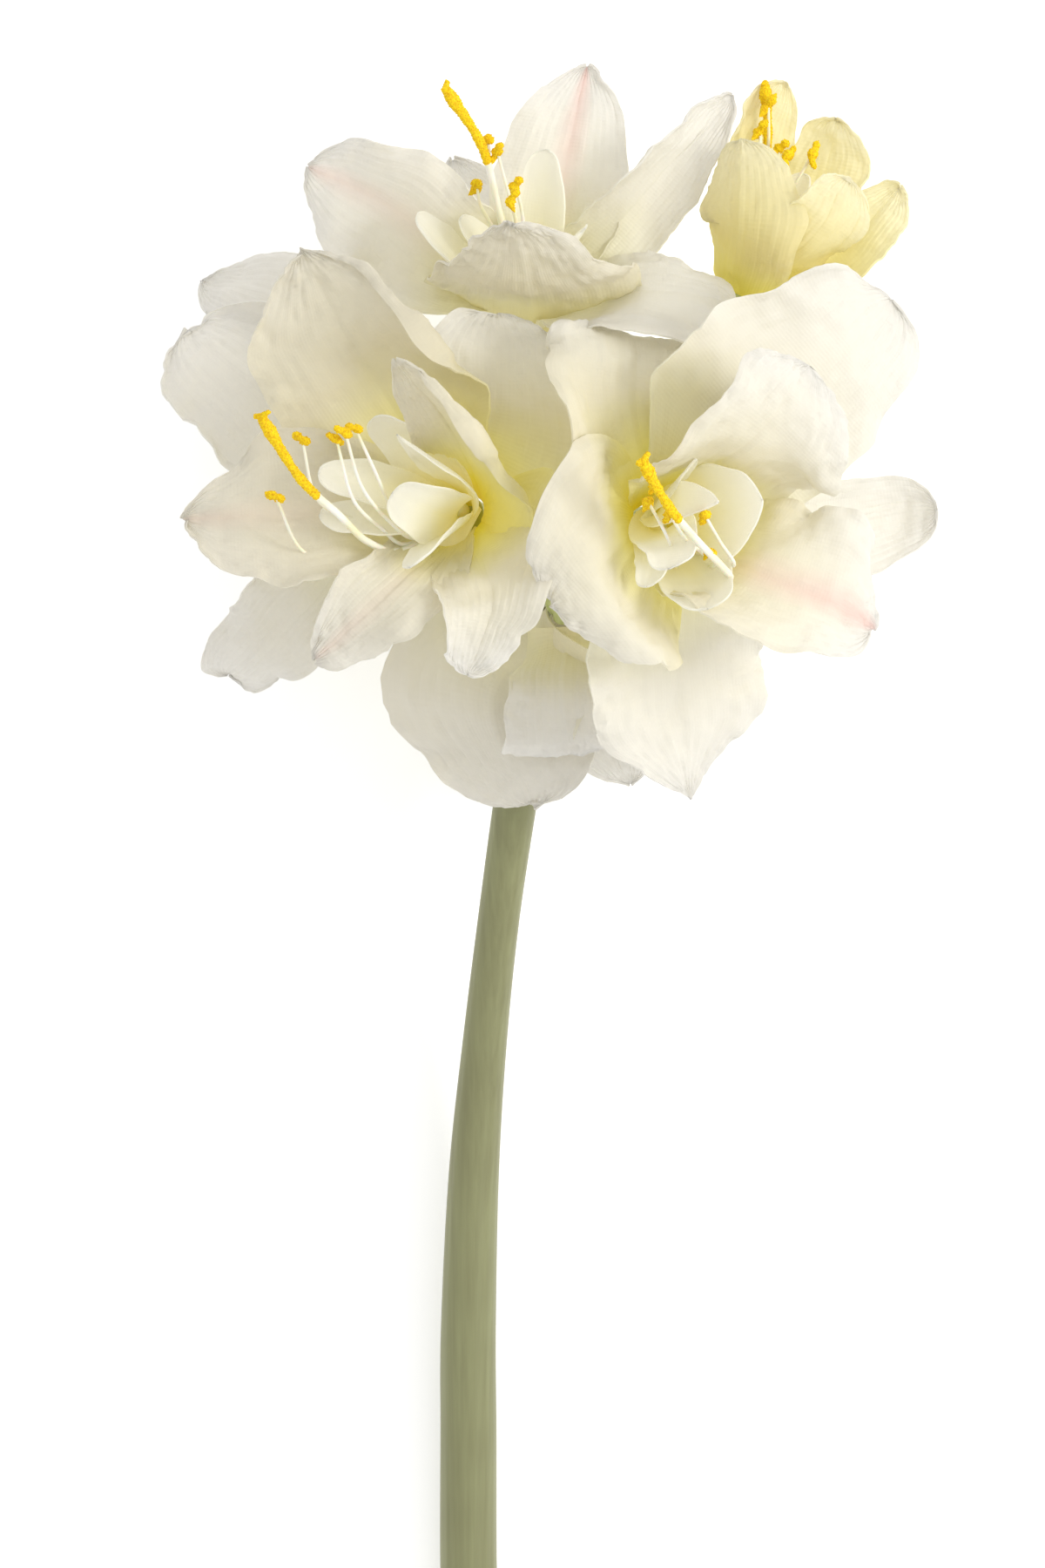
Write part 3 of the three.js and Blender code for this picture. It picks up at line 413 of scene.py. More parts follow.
underleftFlower = {
    "name": "underleft", "throat": (-49, 28, -35), "axis": (-0.75, 0.05, -0.66), "ring": 7, "flare": 20,
    "petals": [
        {"mid": (-82, 91, -34), "tip": (-118, 107, -42), "half": 30, "face": (-0.3, -0.2, -0.9), "point": 0.6,
         "lead": 0.35, "ruffle": 2.2, "phase": 1.2, "warm": 0.2},
        {"mid": (-87, 59, -14), "tip": (-122, 88, -20), "half": 29, "face": (-0.3, -0.2, -0.9), "blunt": 4,
         "point": 0.4, "roll": (-60, -60), "rollFrom": 0.75, "ruffle": 2.8, "phase": 2.6, "warm": 0.2},
        {"mid": (-82, -8, -18), "tip": (-113, -44, -26), "half": 18, "face": (-0.3, 0, -0.9), "point": 0.4,
         "tipTurn": 70, "scallop": 0.16, "ruffle": 8, "waves": 2.4, "phase": 1.1, "warm": 0.2},
        {"mid": (-92, 24, -55), "tip": (-112, 19, -84.7), "half": 26, "warm": 0.2},
        {"mid": (-64, 71, -56), "tip": (-83, 90, -81.2), "half": 26, "warm": 0.2},
        {"mid": (-61, -7, -56), "tip": (-72, -26, -80), "half": 26, "warm": 0.2},
    ],
    "small": [],
    "stamens": [  # the style first
        ((-60, 29, -45), (-76, 32, -52), (-92, 36, -54), (-104, 42, -54)),
        ((-60, 31, -45), (-72, 38, -54), (-82, 46, -58), (-90, 52, -60)),
        ((-60, 27, -45), (-74, 20, -54), (-84, 14, -56), (-92, 8, -56)),
        ((-60, 29, -47), (-70, 30, -58), (-80, 34, -65), (-88, 38, -68)),
        ((-59, 26, -46), (-68, 18, -58), (-76, 10, -64), (-82, 2, -66)),
        ((-61, 30, -43), (-76, 28, -46), (-90, 24, -46), (-100, 20, -44)),
    ],
}

lowFlower = {
    "name": "low", "throat": (12, -14, 8), "axis": (0.15, -0.85, -0.5), "ring": 7, "flare": 20,
    "petals": [
        {"mid": (10, -39, 26), "tip": (12, -68, 10), "half": 20, "face": (0, -0.3, -0.9), "neck": 0.9,
         "blunt": 7, "point": 0.25, "left": (1, 1, 1.1, 1.2), "tipTurn": 50, "ruffle": 1.2, "phase": 0.5,
         "warm": 0.3},
        {"mid": (-14, -43, 2), "tip": (-1, -80, -14), "half": 34, "face": (0.1, 0.1, -0.95), "neck": 0.9,
         "blunt": 3, "point": 0.5, "left": (1.5, 1.15, 0.8, 0.6), "ruffle": 3.4, "phase": 1.9, "warm": 0.2,
         "paintedShade": 0.15},
        {"mid": (44, -38, -14), "tip": (68, -50, -40), "half": 26, "warm": 0.2},
        {"mid": (32, -24, -44), "tip": (52, -30, -81.8), "half": 26, "warm": 0.2},
        {"mid": (24, -52, -30), "tip": (34, -72, -52), "half": 18, "warm": 0.2},
        {"mid": (-16, -40, -38), "tip": (-34, -58, -70), "half": 18, "warm": 0.2},
    ],
    "small": [],
    "stamens": [  # the style first
        ((14, -26, 0), (17, -36, -8), (19, -44, -14), (20, -52, -18)),
        ((13, -26, 0), (14, -36, -10), (14, -44, -16), (13, -50, -18)),
        ((15, -26, 0), (20, -34, -10), (24, -40, -18), (28, -44, -22)),
        ((12, -25, -1), (10, -34, -12), (8, -40, -18), (6, -44, -22)),
        ((15, -24, -1), (20, -30, -14), (24, -34, -22), (26, -38, -28)),
        ((11, -26, 1), (7, -36, -4), (4, -44, -8), (1, -48, -10)),
    ],
}


def newTree(name, sockets):
    tree = bpy.data.node_groups.new(name, "GeometryNodeTree")
    tree.interface.new_socket("Geometry", in_out="INPUT", socket_type="NodeSocketGeometry")
    for label, kind in sockets.items():
        tree.interface.new_socket(label, in_out="INPUT", socket_type="NodeSocket" + kind)
    tree.interface.new_socket("Geometry", in_out="OUTPUT", socket_type="NodeSocketGeometry")
    return tree, addNode(tree, "NodeGroupInput").outputs


def endTree(tree, give, shape):  # every tree ends as real geometry with its material
    whole = addNode(tree, "GeometryNodeRealizeInstances", None, [shape])
    painted = addNode(tree, "GeometryNodeSetMaterial", None, {"Geometry": whole, "Material": give["Material"]})
    addNode(tree, "NodeGroupOutput", None, [painted])
    return tree


def addTree(piece, tree, values):
    modifier = piece.modifiers.new(tree.name, "NODES")
    modifier.node_group = tree
    for item in tree.interface.items_tree:
        if item.in_out == "INPUT" and item.name in values:
            modifier[item.identifier] = values[item.name]


sharpAngle = 55  # degrees; steeper edges stay crisp


def makePlain(piece):  # the evaluated shape as a plain mesh with no modifiers left
    graph = bpy.context.evaluated_depsgraph_get()
    shape = bpy.data.meshes.new_from_object(piece.evaluated_get(graph), preserve_all_data_layers=True,
                                            depsgraph=graph)
    shape.name = piece.name
    plain = bpy.data.objects.new(piece.name, shape)
    bpy.data.objects.remove(piece)
    plain.name = shape.name
    bpy.context.scene.collection.objects.link(plain)
    shape.set_sharp_from_angle(angle=math.radians(sharpAngle))
    return plain


fullTurn = 6.2832  # radians

# veins that follow the outline, crinkles near the rim and a slow swell, all pushed along the normal
petalRelief = {"veinLift": 0.001, "noiseLift": 0.004, "noiseMiddle": 0.5,  # metres for a depth of 1
               "rimPower": 1.5, "tipPower": 3.0, "crinkleBase": 0.2,  # crinkles gather at the rims and tip
               "footFade": 3.0, "crinkleDetail": 3.0, "crinkleRoughness": 0.55}
tree, give = newTree("petalFinish", {
    "Vein Depth": "Float", "Vein Count": "Float", "Crinkle Depth": "Float", "Crinkle Size": "Float",
    "Swell": "Float", "Swell Size": "Float", "Seed": "Float", "Material": "Material"})
acrossValue, alongValue = (addNode(tree, "GeometryNodeInputNamedAttribute", {"data_type": "FLOAT"}, [key])
                           for key in ("across", "along"))
place = addNode(tree, "GeometryNodeInputPosition")
veins = addNode(tree, maths, times, [give["Vein Count"], fullTurn])
veins = addNode(tree, maths, times, [acrossValue, veins])
veins = addNode(tree, maths, sine, [veins])
noises = []  # crinkle and swell, each as noise around zero
for size, detail in (("Crinkle Size", {"Detail": petalRelief["crinkleDetail"],
                                       "Roughness": petalRelief["crinkleRoughness"]}),
                     ("Swell Size", {"Detail": 0.0})):
    perMetre = addNode(tree, maths, over, [1000.0, give[size]])
    noise = addNode(tree, "ShaderNodeTexNoise", {"noise_dimensions": "4D"},
                    {"Vector": place, "W": give["Seed"], "Scale": perMetre, **detail})
    noises.append(addNode(tree, maths, minus, [noise, petalRelief["noiseMiddle"]]))
veinLift, crinkleLift, swellLift = (
    addNode(tree, maths, times, [give[depth], petalRelief[lift]])
    for depth, lift in (("Vein Depth", "veinLift"), ("Crinkle Depth", "noiseLift"), ("Swell", "noiseLift")))
nearTip = addNode(tree, maths, power, [alongValue, petalRelief["tipPower"]])
rimShare = addNode(tree, maths, absolute, [acrossValue])
for step, value in ((power, petalRelief["rimPower"]), (largest, nearTip), (plus, petalRelief["crinkleBase"])):
    rimShare = addNode(tree, maths, step, [rimShare, value])
crinkle = addNode(tree, maths, times, [noises[0], rimShare])
crinkle = addNode(tree, maths, times, [crinkle, crinkleLift])
swell = addNode(tree, maths, times, [noises[1], swellLift])
free = addNode(tree, maths, times, [alongValue, petalRelief["footFade"]])
free = addNode(tree, maths, smallest, [free, 1.0])
push = veins
for step, value in ((times, veinLift), (plus, crinkle), (plus, swell), (times, free)):
    push = addNode(tree, maths, step, [push, value])
normal = addNode(tree, "GeometryNodeInputNormal")
offset = addNode(tree, "ShaderNodeVectorMath", {"operation": "SCALE"}, {"Vector": normal, "Scale": push})
moved = addNode(tree, "GeometryNodeSetPosition", None, {"Geometry": give["Geometry"], "Offset": offset})
petalTree = endTree(tree, give, moved)

# a round stalk along a curve, thick where the curve's own radius is large, with faint ribs
tree, give = newTree("stalkAlongCurve", {
    "Sides": "Int", "Rib Count": "Float", "Rib Depth": "Float", "Material": "Material"})
ring = addNode(tree, "GeometryNodeCurvePrimitiveCircle", {"mode": "RADIUS"},
               {"Resolution": give["Sides"], "Radius": 1.0})
around = addNode(tree, "GeometryNodeSplineParameter").outputs["Factor"]
ribs = addNode(tree, maths, times, [give["Rib Count"], fullTurn])
ribs = addNode(tree, maths, times, [around, ribs])
ribs = addNode(tree, maths, sine, [ribs])
ribs = addNode(tree, maths, times, [ribs, give["Rib Depth"]])
grow = addNode(tree, maths, plus, [ribs, 1.0])
ringPlace = addNode(tree, "GeometryNodeInputPosition")
ribbed = addNode(tree, "ShaderNodeVectorMath", {"operation": "SCALE"}, {"Vector": ringPlace, "Scale": grow})
profile = addNode(tree, "GeometryNodeSetPosition", None, {"Geometry": ring, "Position": ribbed})
radius = addNode(tree, "GeometryNodeInputRadius")
tube = addNode(tree, "GeometryNodeCurveToMesh", None, {
    "Curve": give["Geometry"], "Profile Curve": profile, "Scale": radius, "Fill Caps": True})
stalkTree = endTree(tree, give, tube)

# grains of pollen scattered over an anther
tree, give = newTree("pollenOverAnther", {
    "Density": "Float", "Grain Radius": "Float", "Seed": "Int", "Material": "Material"})
spots = addNode(tree, "GeometryNodeDistributePointsOnFaces", {"distribute_method": "RANDOM"},
                {"Mesh": give["Geometry"], "Density": give["Density"], "Seed": give["Seed"]})
grain = addNode(tree, "GeometryNodeMeshIcoSphere", None, {"Radius": give["Grain Radius"]})
grains = addNode(tree, "GeometryNodeInstanceOnPoints", None, {"Points": spots, "Instance": grain})
both = addNode(tree, "GeometryNodeJoinGeometry", None, [grains])
tree.links.new(give["Geometry"], both.inputs[0])
pollenTree = endTree(tree, give, both)
print("node trees ready")


def newMaterial(name, settings):
    material = bpy.data.materials.new(name)
    material.use_nodes = True
    shader = material.node_tree.nodes["Principled BSDF"]
    for key, value in settings.items():
        shader.inputs[key].default_value = value
    return material, material.node_tree, shader


def setShades(ramp, shades):  # (place, hex colour) stops on a colour ramp
    elements = ramp.color_ramp.elements
    while len(elements) < len(shades):
        elements.new(0.5)
    for element, (at, colour) in zip(elements, shades):
        element.position = at
        element.color = toLinear(colour)


plasticBend = 1.46  # index of refraction of polyester and soft plastic

petalTint = {
    "rimReach": 0.12, "uneven": 0.18, "cloudMiddle": 0.5, "cloudDetail": 3.0,  # edge of the yellow throat
    "streakNarrow": 3.2, "streakFrom": 0.25, "streakGain": 1.6, "streakBase": 0.2,  # pink streak on the midrib
    "dullFrom": 0.35,  # how much of the clouds dulls the cloth
    "threads": 26.0, "threadBend": 1.0, "threadShare": 0.5,  # drawn 0.6 mm apart, twice the real cloth's spacing
    "grain": 900.0, "grainDetail": 2.0, "grainShare": 0.6, "bumpDepth": 0.0003,
}


def petalMaterial(name, finish):
    # woven polyester petal, pressed and hand tinted: matt, a little light comes through, fine thread across it
    material, tree, shader = newMaterial(name, {"Roughness": finish["roughness"], "IOR": plasticBend,
                                                "Sheen Weight": 0.15, "Sheen Roughness": 0.5})
    along, across, warm, blush, paintedShade = (
        addNode(tree, "ShaderNodeAttribute", {"attribute_name": key}).outputs["Fac"]
        for key in ("along", "across", "warm", "blush", "paintedShade"))
    spot = addNode(tree, "ShaderNodeTexCoord").outputs["Object"]
    cloud = addNode(tree, "ShaderNodeTexNoise", None, {
        "Vector": spot, "Scale": 1000 / finish["cloudSize"], "Detail": petalTint["cloudDetail"]})
    # distance from the throat, uneven with the clouds and longer at the rims
    centre = addNode(tree, maths, absolute, [across])
    rimReach = addNode(tree, maths, times, [centre, petalTint["rimReach"]])
    warmest = addNode(tree, maths, largest, [warm, 1.0])
    reach = cloud
    for step, value in ((minus, petalTint["cloudMiddle"]), (times, petalTint["uneven"]), (plus, along),
                        (plus, rimReach), (over, warmest)):
        reach = addNode(tree, maths, step, [reach, value])
    throat = addNode(tree, "ShaderNodeValToRGB", None, [reach])
    setShades(throat, finish["throat"])
    body = addNode(tree, "ShaderNodeMix", {"data_type": "RGBA"}, {
        0: warm, 6: toLinear(finish["throat"][-1][1]), 7: throat}).outputs[2]
    # a pink streak along the midrib, stronger towards the tip
    narrow = centre
    for step, value in ((times, -petalTint["streakNarrow"]), (plus, 1.0), (largest, 0.0)):
        narrow = addNode(tree, maths, step, [narrow, value])
    patchy = addNode(tree, maths, plus, [cloud, petalTint["streakBase"]])
    streak = along
    for step, value in ((minus, petalTint["streakFrom"]), (times, petalTint["streakGain"]), (largest, 0.0),
                        (times, narrow), (times, blush), (times, patchy)):
        streak = addNode(tree, maths, step, [streak, value])
    tinted = addNode(tree, "ShaderNodeMix", {"data_type": "RGBA"}, {
        0: streak, 6: body, 7: toLinear(finish["blushColour"])}).outputs[2]
    # deeper clouds as on pressed cloth, and painted shade: a deeper cream laid by each petal's own share on the
    # petals that lay in less light
    cloudsAndShade = cloud
    for step, value in ((minus, petalTint["dullFrom"]), (times, finish["dullness"]), (largest, 0.0), (plus, paintedShade)):
        cloudsAndShade = addNode(tree, maths, step, [cloudsAndShade, value])
    colour = addNode(tree, "ShaderNodeMix", {"data_type": "RGBA"}, {
        0: cloudsAndShade, 6: tinted, 7: toLinear(finish["cloudAndShadeColour"])}).outputs[2]
    tree.links.new(colour, shader.inputs["Base Color"])
    # woven threads and a fine grain as bump
    cloth = addNode(tree, "ShaderNodeUVMap", {"uv_map": "cloth"})
    warp, weft = (addNode(tree, "ShaderNodeTexWave", {"wave_type": "BANDS", "bands_direction": way}, {
        "Vector": cloth, "Scale": petalTint["threads"], "Distortion": petalTint["threadBend"]}).outputs[1]
        for way in ("X", "Y"))
    grain = addNode(tree, "ShaderNodeTexNoise", None, {
        "Vector": spot, "Scale": petalTint["grain"], "Detail": petalTint["grainDetail"]})
    grain = addNode(tree, maths, times, [grain, petalTint["grainShare"]])
    relief = warp
    for step, value in ((plus, weft), (times, petalTint["threadShare"]), (plus, grain)):
        relief = addNode(tree, maths, step, [relief, value])
    bump = addNode(tree, "ShaderNodeBump", None, {
        "Strength": finish["weave"], "Distance": petalTint["bumpDepth"], "Height": relief})
    tree.links.new(bump.outputs[0], shader.inputs["Normal"])
    # painted glow: emission in the petal's own colour, strongest in the throat, stands in for light soaked through
    # the yellow cloth
    paintedGlow = reach
    for step, value in ((times, -finish["paintedGlowFall"]), (plus, 1.0), (largest, 0.0), (times, warm),
                        (times, finish["paintedGlow"])):
        paintedGlow = addNode(tree, maths, step, [paintedGlow, value])
    tree.links.new(colour, shader.inputs["Emission Color"])
    tree.links.new(paintedGlow.outputs[0], shader.inputs["Emission Strength"])
    glow = addNode(tree, "ShaderNodeBsdfTranslucent", None, {"Color": colour, "Normal": bump})
    blend = addNode(tree, "ShaderNodeMixShader", None, [finish["glow"], shader, glow])
    tree.links.new(blend.outputs[0], tree.nodes["Material Output"].inputs["Surface"])
    return material


# each finish also sets a painted glow in the throat, its strength and fall, and a deeper cream that serves both
# the cloth's clouds and painted shade
petalFinishes = {
    "whitePetalCloth": {
        "roughness": 0.5, "glow": 0.42, "weave": 0.25, "cloudSize": 28, "dullness": 0.12,
        "paintedGlow": 0.34, "paintedGlowFall": 2.2, "blushColour": "#F5D8D0", "cloudAndShadeColour": "#E2DABF",
        "throat": [(0.0, "#DCCB12"), (0.15, "#E8DE48"), (0.32, "#F2ECA8"), (0.55, "#F5F0DC"), (1.0, "#F5F3EE")]},
    "creamPetalCloth": {
        "roughness": 0.5, "glow": 0.5, "weave": 0.25, "cloudSize": 28, "dullness": 0.35,
        "paintedGlow": 0.16, "paintedGlowFall": 2.2, "blushColour": "#F3DCC4", "cloudAndShadeColour": "#F2E6B4",
        "throat": [(0.0, "#E6DC58"), (0.2, "#F0E88C"), (0.45, "#F6EEB6"), (0.7, "#F9F3CC"), (1.0, "#FBF7DE")]},
    "smallPetalCloth": {
        "roughness": 0.5, "glow": 0.5, "weave": 0.15, "cloudSize": 20, "dullness": 0.2,
        "paintedGlow": 0.24, "paintedGlowFall": 0.8, "blushColour": "#F3DCC4", "cloudAndShadeColour": "#F3EBC4",
        "throat": [(0.0, "#E0D024"), (0.18, "#EDE46C"), (0.4, "#F7F2CA"), (0.65, "#FBF9EA"), (1.0, "#FCFBF4")]},
}
cloths = {name: petalMaterial(name, finish) for name, finish in petalFinishes.items()}


def noisyMaterial(name, settings, noises, shades, bumpLook=None):
    # noises: the share, scale, detail, roughness and stretch along the stem of each; the first one bumps
    material, tree, shader = newMaterial(name, settings)
    spot = addNode(tree, "ShaderNodeTexCoord").outputs["Object"]
    total, made = 0.0, []
    for share, scale, detail, roughness, drawn in noises:
        place = addNode(tree, "ShaderNodeMapping", None, {"Vector": spot, "Scale": (1.0, drawn, 1.0)})
        made.append(addNode(tree, "ShaderNodeTexNoise", None, {
            "Vector": place, "Scale": scale, "Detail": detail, "Roughness": roughness}))
        part = addNode(tree, maths, times, [made[-1], share])
        total = addNode(tree, maths, plus, [part, total])
    ramp = addNode(tree, "ShaderNodeValToRGB", None, [total])
    setShades(ramp, shades)
    tree.links.new(ramp.outputs[0], shader.inputs["Base Color"])
    if bumpLook:
        bump = addNode(tree, "ShaderNodeBump", None, {**bumpLook, "Height": made[0]})
        tree.links.new(bump.outputs[0], shader.inputs["Normal"])
    return material


# moulded soft plastic skin over wire, satin, with long faint streaks of brown and paler green
skinNoises = [(0.55, 420.0, 4.0, 0.6, 0.03), (0.45, 22.0, 2.0, 0.5, 1.0)]
skinBump = {"Strength": 0.15, "Distance": 0.0003}
stemSkin = noisyMaterial("satinStemSkin", {"Roughness": 0.42, "IOR": plasticBend}, skinNoises,
                         [(0.3, "#7C7B56"), (0.72, "#92946A")], skinBump)
stalkSkin = noisyMaterial("paleStalkSkin", {"Roughness": 0.45, "IOR": plasticBend}, skinNoises,
                          [(0.36, "#A9B266"), (0.62, "#C9CE92")], skinBump)
# flocked anther, saturated yellow powder, with painted shade darkening the hollows of its bump
antherFlock = noisyMaterial("yellowAntherFlock", {"Roughness": 0.85}, [(1.0, 1400.0, 2.0, 0.5, 1.0)],
                            [(0.35, "#E3B100"), (0.6, "#F8D800")], {"Strength": 0.5, "Distance": 0.0004})
# smooth ivory plastic thread, slightly see-through
filamentIvory = noisyMaterial("ivoryFilament", {
    "Roughness": 0.4, "Subsurface Weight": 0.2, "Subsurface Scale": 0.001},
    [(1.0, 60.0, 1.0, 0.5, 1.0)], [(0.4, "#F3EFCB"), (0.6, "#FAF8EE")])
print("materials ready")


def finishPiece(piece, slot, *nodes):
    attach(piece, "root")
    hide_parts(*nodes)


petalLook = {  # depths are shares of the tree's own lift; sizes and thicknesses in mm
    "thick": 0.7, "seed": 4, "seedStep": 3.7,
    "relief": {"Vein Depth": 0.2, "Vein Count": 7.0, "Crinkle Depth": 1.4, "Crinkle Size": 7.0,
               "Swell": 1.8, "Swell Size": 24.0},
}
heartLook = {
    "thick": 0.6,
    "form": {"ring": 3.2, "neck": 0.45, "ruffle": 0.6, "rim": 0.4, "keel": 0.2, "cup": 30, "lipCup": 15},
    "relief": {"Vein Depth": 0.05, "Crinkle Depth": 0.2, "Swell": 0.3},
}


def petalPiece(name, sheets, relief, thick):
    piece = petalMesh(name, sheets)
    addTree(piece, petalTree, relief)
    solid = piece.modifiers.new("thickness", "SOLIDIFY")
    solid.thickness = thick / 1000
    solid.offset = 0.0
    solid.use_rim = True
    return makePlain(piece)


def makePetals(flower):
    cloth = cloths["creamPetalCloth" if flower["name"] == "corner" else "whitePetalCloth"]
    slot = "cream_petal" if flower["name"] == "corner" else "petal"
    for k, petal in enumerate(flower["petals"]):
        name = f"{flower['name']}_petal_{k + 1}"
        rows = petalRows(flower, petal, petalCuts["across"], petalCuts["along"])
        relief = {**petalLook["relief"], "Seed": petalLook["seed"] + petalLook["seedStep"] * k, "Material": cloth}
        relief["Crinkle Depth"] *= rows[-1]["crinkle"]
        finishPiece(petalPiece(name + "_cloth", [rows], relief, petalLook["thick"]), slot, name)


def makeHeart(flower):
    sheets = [petalRows(flower, {**heartLook["form"], **petal}, petalCuts["smallAcross"], petalCuts["smallAlong"])
              for petal in flower["small"]]
    relief = {**petalLook["relief"], **heartLook["relief"], "Seed": petalLook["seed"],
              "Material": cloths["smallPetalCloth"]}
    piece = petalPiece(f"{flower['name']}_heart_cloth", sheets, relief, heartLook["thick"])
    finishPiece(piece, "heart", f"{flower['name']}_heart")


def tubePiece(name, lines, values):  # a tube along lines of (point, radius) rows in millimetres
    curve = bpy.data.curves.new(name, "CURVE")
    curve.dimensions = "3D"
    for line in lines:
        spline = curve.splines.new("POLY")
        spline.points.add(len(line) - 1)
        for knot, row in zip(spline.points, line):
            knot.co = (*toRow(row[:3]), 1.0)
            knot.radius = row[3] / 1000
    piece = bpy.data.objects.new(name, curve)
    bpy.context.scene.collection.objects.link(piece)
    addTree(piece, stalkTree, values)
    return makePlain(piece)


stamenForm = {  # radii and lengths in mm
    "filament": 0.85, "filamentTip": 0.5, "style": 1.25, "stigma": 1.7, "steps": 9, "footUp": 5.5,
    "bareStyle": 0.72,  # share of the style below its pollen
    "lumps": [(0.22, 9.5, 0), (0.16, 23, 1)],  # size, turns and start of the lumps on the style
    "coat": 0.85, "coatGrow": 0.25,
    "lobes": [(-1, 2.2), (1, 3.6)], "lobeRise": 1.2, "lobeFoot": 1.5, "lobeThin": 0.7,  # hooked stigma
    "antherLong": 9.5, "antherWide": 1.5, "antherLeast": 0.8, "antherMore": 0.12, "antherBlunt": 2.6,
    "antherRun": 0.8, "antherRise": 0.6, "bow": 1.6, "twist": 0.5, "bulge": 0.25,
    "knob": [(-3, 1.2), (-2, 2.6), (0, 3.1), (2, 2.4), (3, 1.0)],  # place along the axis, radius
    "ivory": {"Sides": 10, "Rib Count": 0.0, "Rib Depth": 0.0, "Material": filamentIvory},
    "yellow": {"Sides": 10, "Rib Count": 2.0, "Rib Depth": 0.16, "Material": antherFlock},
    "pollen": {"Density": 900000.0, "Grain Radius": 0.0003, "Seed": 7, "Material": antherFlock},  # metres
}


def styleEnd(path, run, axis):  # thick pollen on the outer part of the style, and a hooked stigma
    form = stamenForm
    share = np.linspace(0, 1, len(path))[:, None]
    lumps = sum(size * np.sin(turns * share + start) for size, turns, start in form["lumps"])
    lines = [np.hstack([path, form["stigma"] * (form["coat"] + form["coatGrow"] * share + lumps * share)])]
    sideways = unit(np.cross(run, axis))
    for way, long in form["lobes"]:
        lines.append([(*(path[-1] + run * form["lobeRise"] * u + sideways * way * long * u * u),
                       form["lobeFoot"] - form["lobeThin"] * u) for u in np.linspace(0, 1, 7)])
    return lines


def antherLine(end, run, axis, k):  # a bowed anther that leans across the filament's end
    form = stamenForm
    lean = unit(run * form["antherRun"] + unit(axis - run * np.dot(axis, run)) * form["antherRise"])
    bow = unit(np.cross(lean, run) + 0.001)
    long = form["antherLong"] * (form["antherLeast"] + form["antherMore"] * (k % 3))
    line = []
    for u in np.linspace(-1, 1, 15):
        width = form["antherWide"] * math.sqrt(max(1 - abs(u) ** form["antherBlunt"], 0.03))
        width = width * (1 + form["bulge"] * math.sin(7 * u + k))
        aside = form["bow"] * u * u + form["twist"] * math.sin(4 * u)
        line.append((*(end + lean * u * long / 2 + bow * aside), width))
    return line


def makeStamens(flower):
    axis, throat = unit(flower["axis"]), np.array(flower["throat"], float)
    foot = throat + axis * stamenForm["footUp"]
    filaments, anthers = [], []
    for k, places in enumerate(flower["stamens"]):
        path = smoothLine([foot, *places], stamenForm["steps"])
        run = unit(path[-1] - path[-4])
        if k == 0:  # the style, bare below and thick with pollen above
            bare = int(len(path) * stamenForm["bareStyle"])
            anthers.extend(styleEnd(path[bare - 1:], run, axis))
            path = path[:bare]
            thick = np.full((len(path), 1), stamenForm["style"])
        else:
            share = np.linspace(0, 1, len(path))[:, None]
            thick = stamenForm["filament"] + (stamenForm["filamentTip"] - stamenForm["filament"]) * share
            anthers.append(antherLine(path[-1], run, axis, k))
        filaments.append(np.hstack([path, thick]))
    filaments.append([(*(foot + axis * d), r) for d, r in stamenForm["knob"]])
    ivory = tubePiece(f"{flower['name']}_filaments", filaments, stamenForm["ivory"])
    yellow = tubePiece(f"{flower['name']}_anthers", anthers, stamenForm["yellow"])
    addTree(yellow, pollenTree, stamenForm["pollen"])
    yellow = makePlain(yellow)
    for piece in (ivory, yellow):
        shadeSmooth(piece)
        finishPiece(piece, "stamen", f"{flower['name']}_stamens")


stalkForm = {
    "umbel": (0, 0, -22), "start": 4, "straight": 0.3, "turnIn": 0.35, "rows": 41,  # mm and shares of the length
    "radii": [(0, 4.2), (0.4, 4.2), (0.55, 4.62), (0.62, 5.9), (0.68, 6.9), (0.76, 6.9), (0.84, 6.1),
              (0.92, 5.7), (1, 6.0)],  # share of the length, mm: stalk, ovary and tube
    "skin": {"Sides": 28, "Rib Count": 3.0, "Rib Depth": 0.03, "Material": stalkSkin},
}


def makeStalk(flower):
    axis, throat = unit(flower["axis"]), np.array(flower["throat"], float)
    umbel = np.array(stalkForm["umbel"], float)
    length, away = np.linalg.norm(throat - umbel), unit(throat - umbel)
    a, b = umbel + away * stalkForm["start"], umbel + away * (stalkForm["start"] + length * stalkForm["straight"])
    c = throat - axis * length * stalkForm["turnIn"]
    t = np.linspace(0, 1, stalkForm["rows"])[:, None]
    line = (1 - t) ** 3 * a + 3 * (1 - t) ** 2 * t * b + 3 * (1 - t) * t * t * c + t ** 3 * throat
    thick = np.interp(t, *zip(*stalkForm["radii"]))
    piece = tubePiece(f"{flower['name']}_stalk_skin", [np.hstack([line, thick])], stalkForm["skin"])
    shadeSmooth(piece)
    finishPiece(piece, "stalk", f"{flower['name']}_stalk")


stemForm = {
    "line": [(0, -8, -26, 7.2), (-1, -42, -35, 7.6), (-7, -78, -45, 7.7), (-13, -120, -54, 7.4),
             (-18, -164, -61, 7.9), (-22, -212, -67, 9.0), (-24, -268, -71, 9.9), (-24, -305, -73, 10.1),
             (-24, -353, -74.5, 10.2), (-23, -380, -75, 10.2)],  # point and radius, mm
    "steps": 12,
    "skin": {"Sides": 64, "Rib Count": 16.0, "Rib Depth": 0.006, "Material": stemSkin},
}


def makeStem():
    points = smoothLine([row[:3] for row in stemForm["line"]], stemForm["steps"])
    radii = smoothLine([(row[3], 0, 0) for row in stemForm["line"]], stemForm["steps"])[:, :1]
    finishPiece(tubePiece("stem_skin", [np.hstack([points, radii])], stemForm["skin"]), "stem", "stem")


makeStem()
for flower in (leftFlower, rightFlower, topFlower, cornerFlower, underleftFlower, lowFlower):
    makeStalk(flower)
    makePetals(flower)
    if flower["small"]:
        makeHeart(flower)
    makeStamens(flower)
    print("made the", flower["name"], "flower")

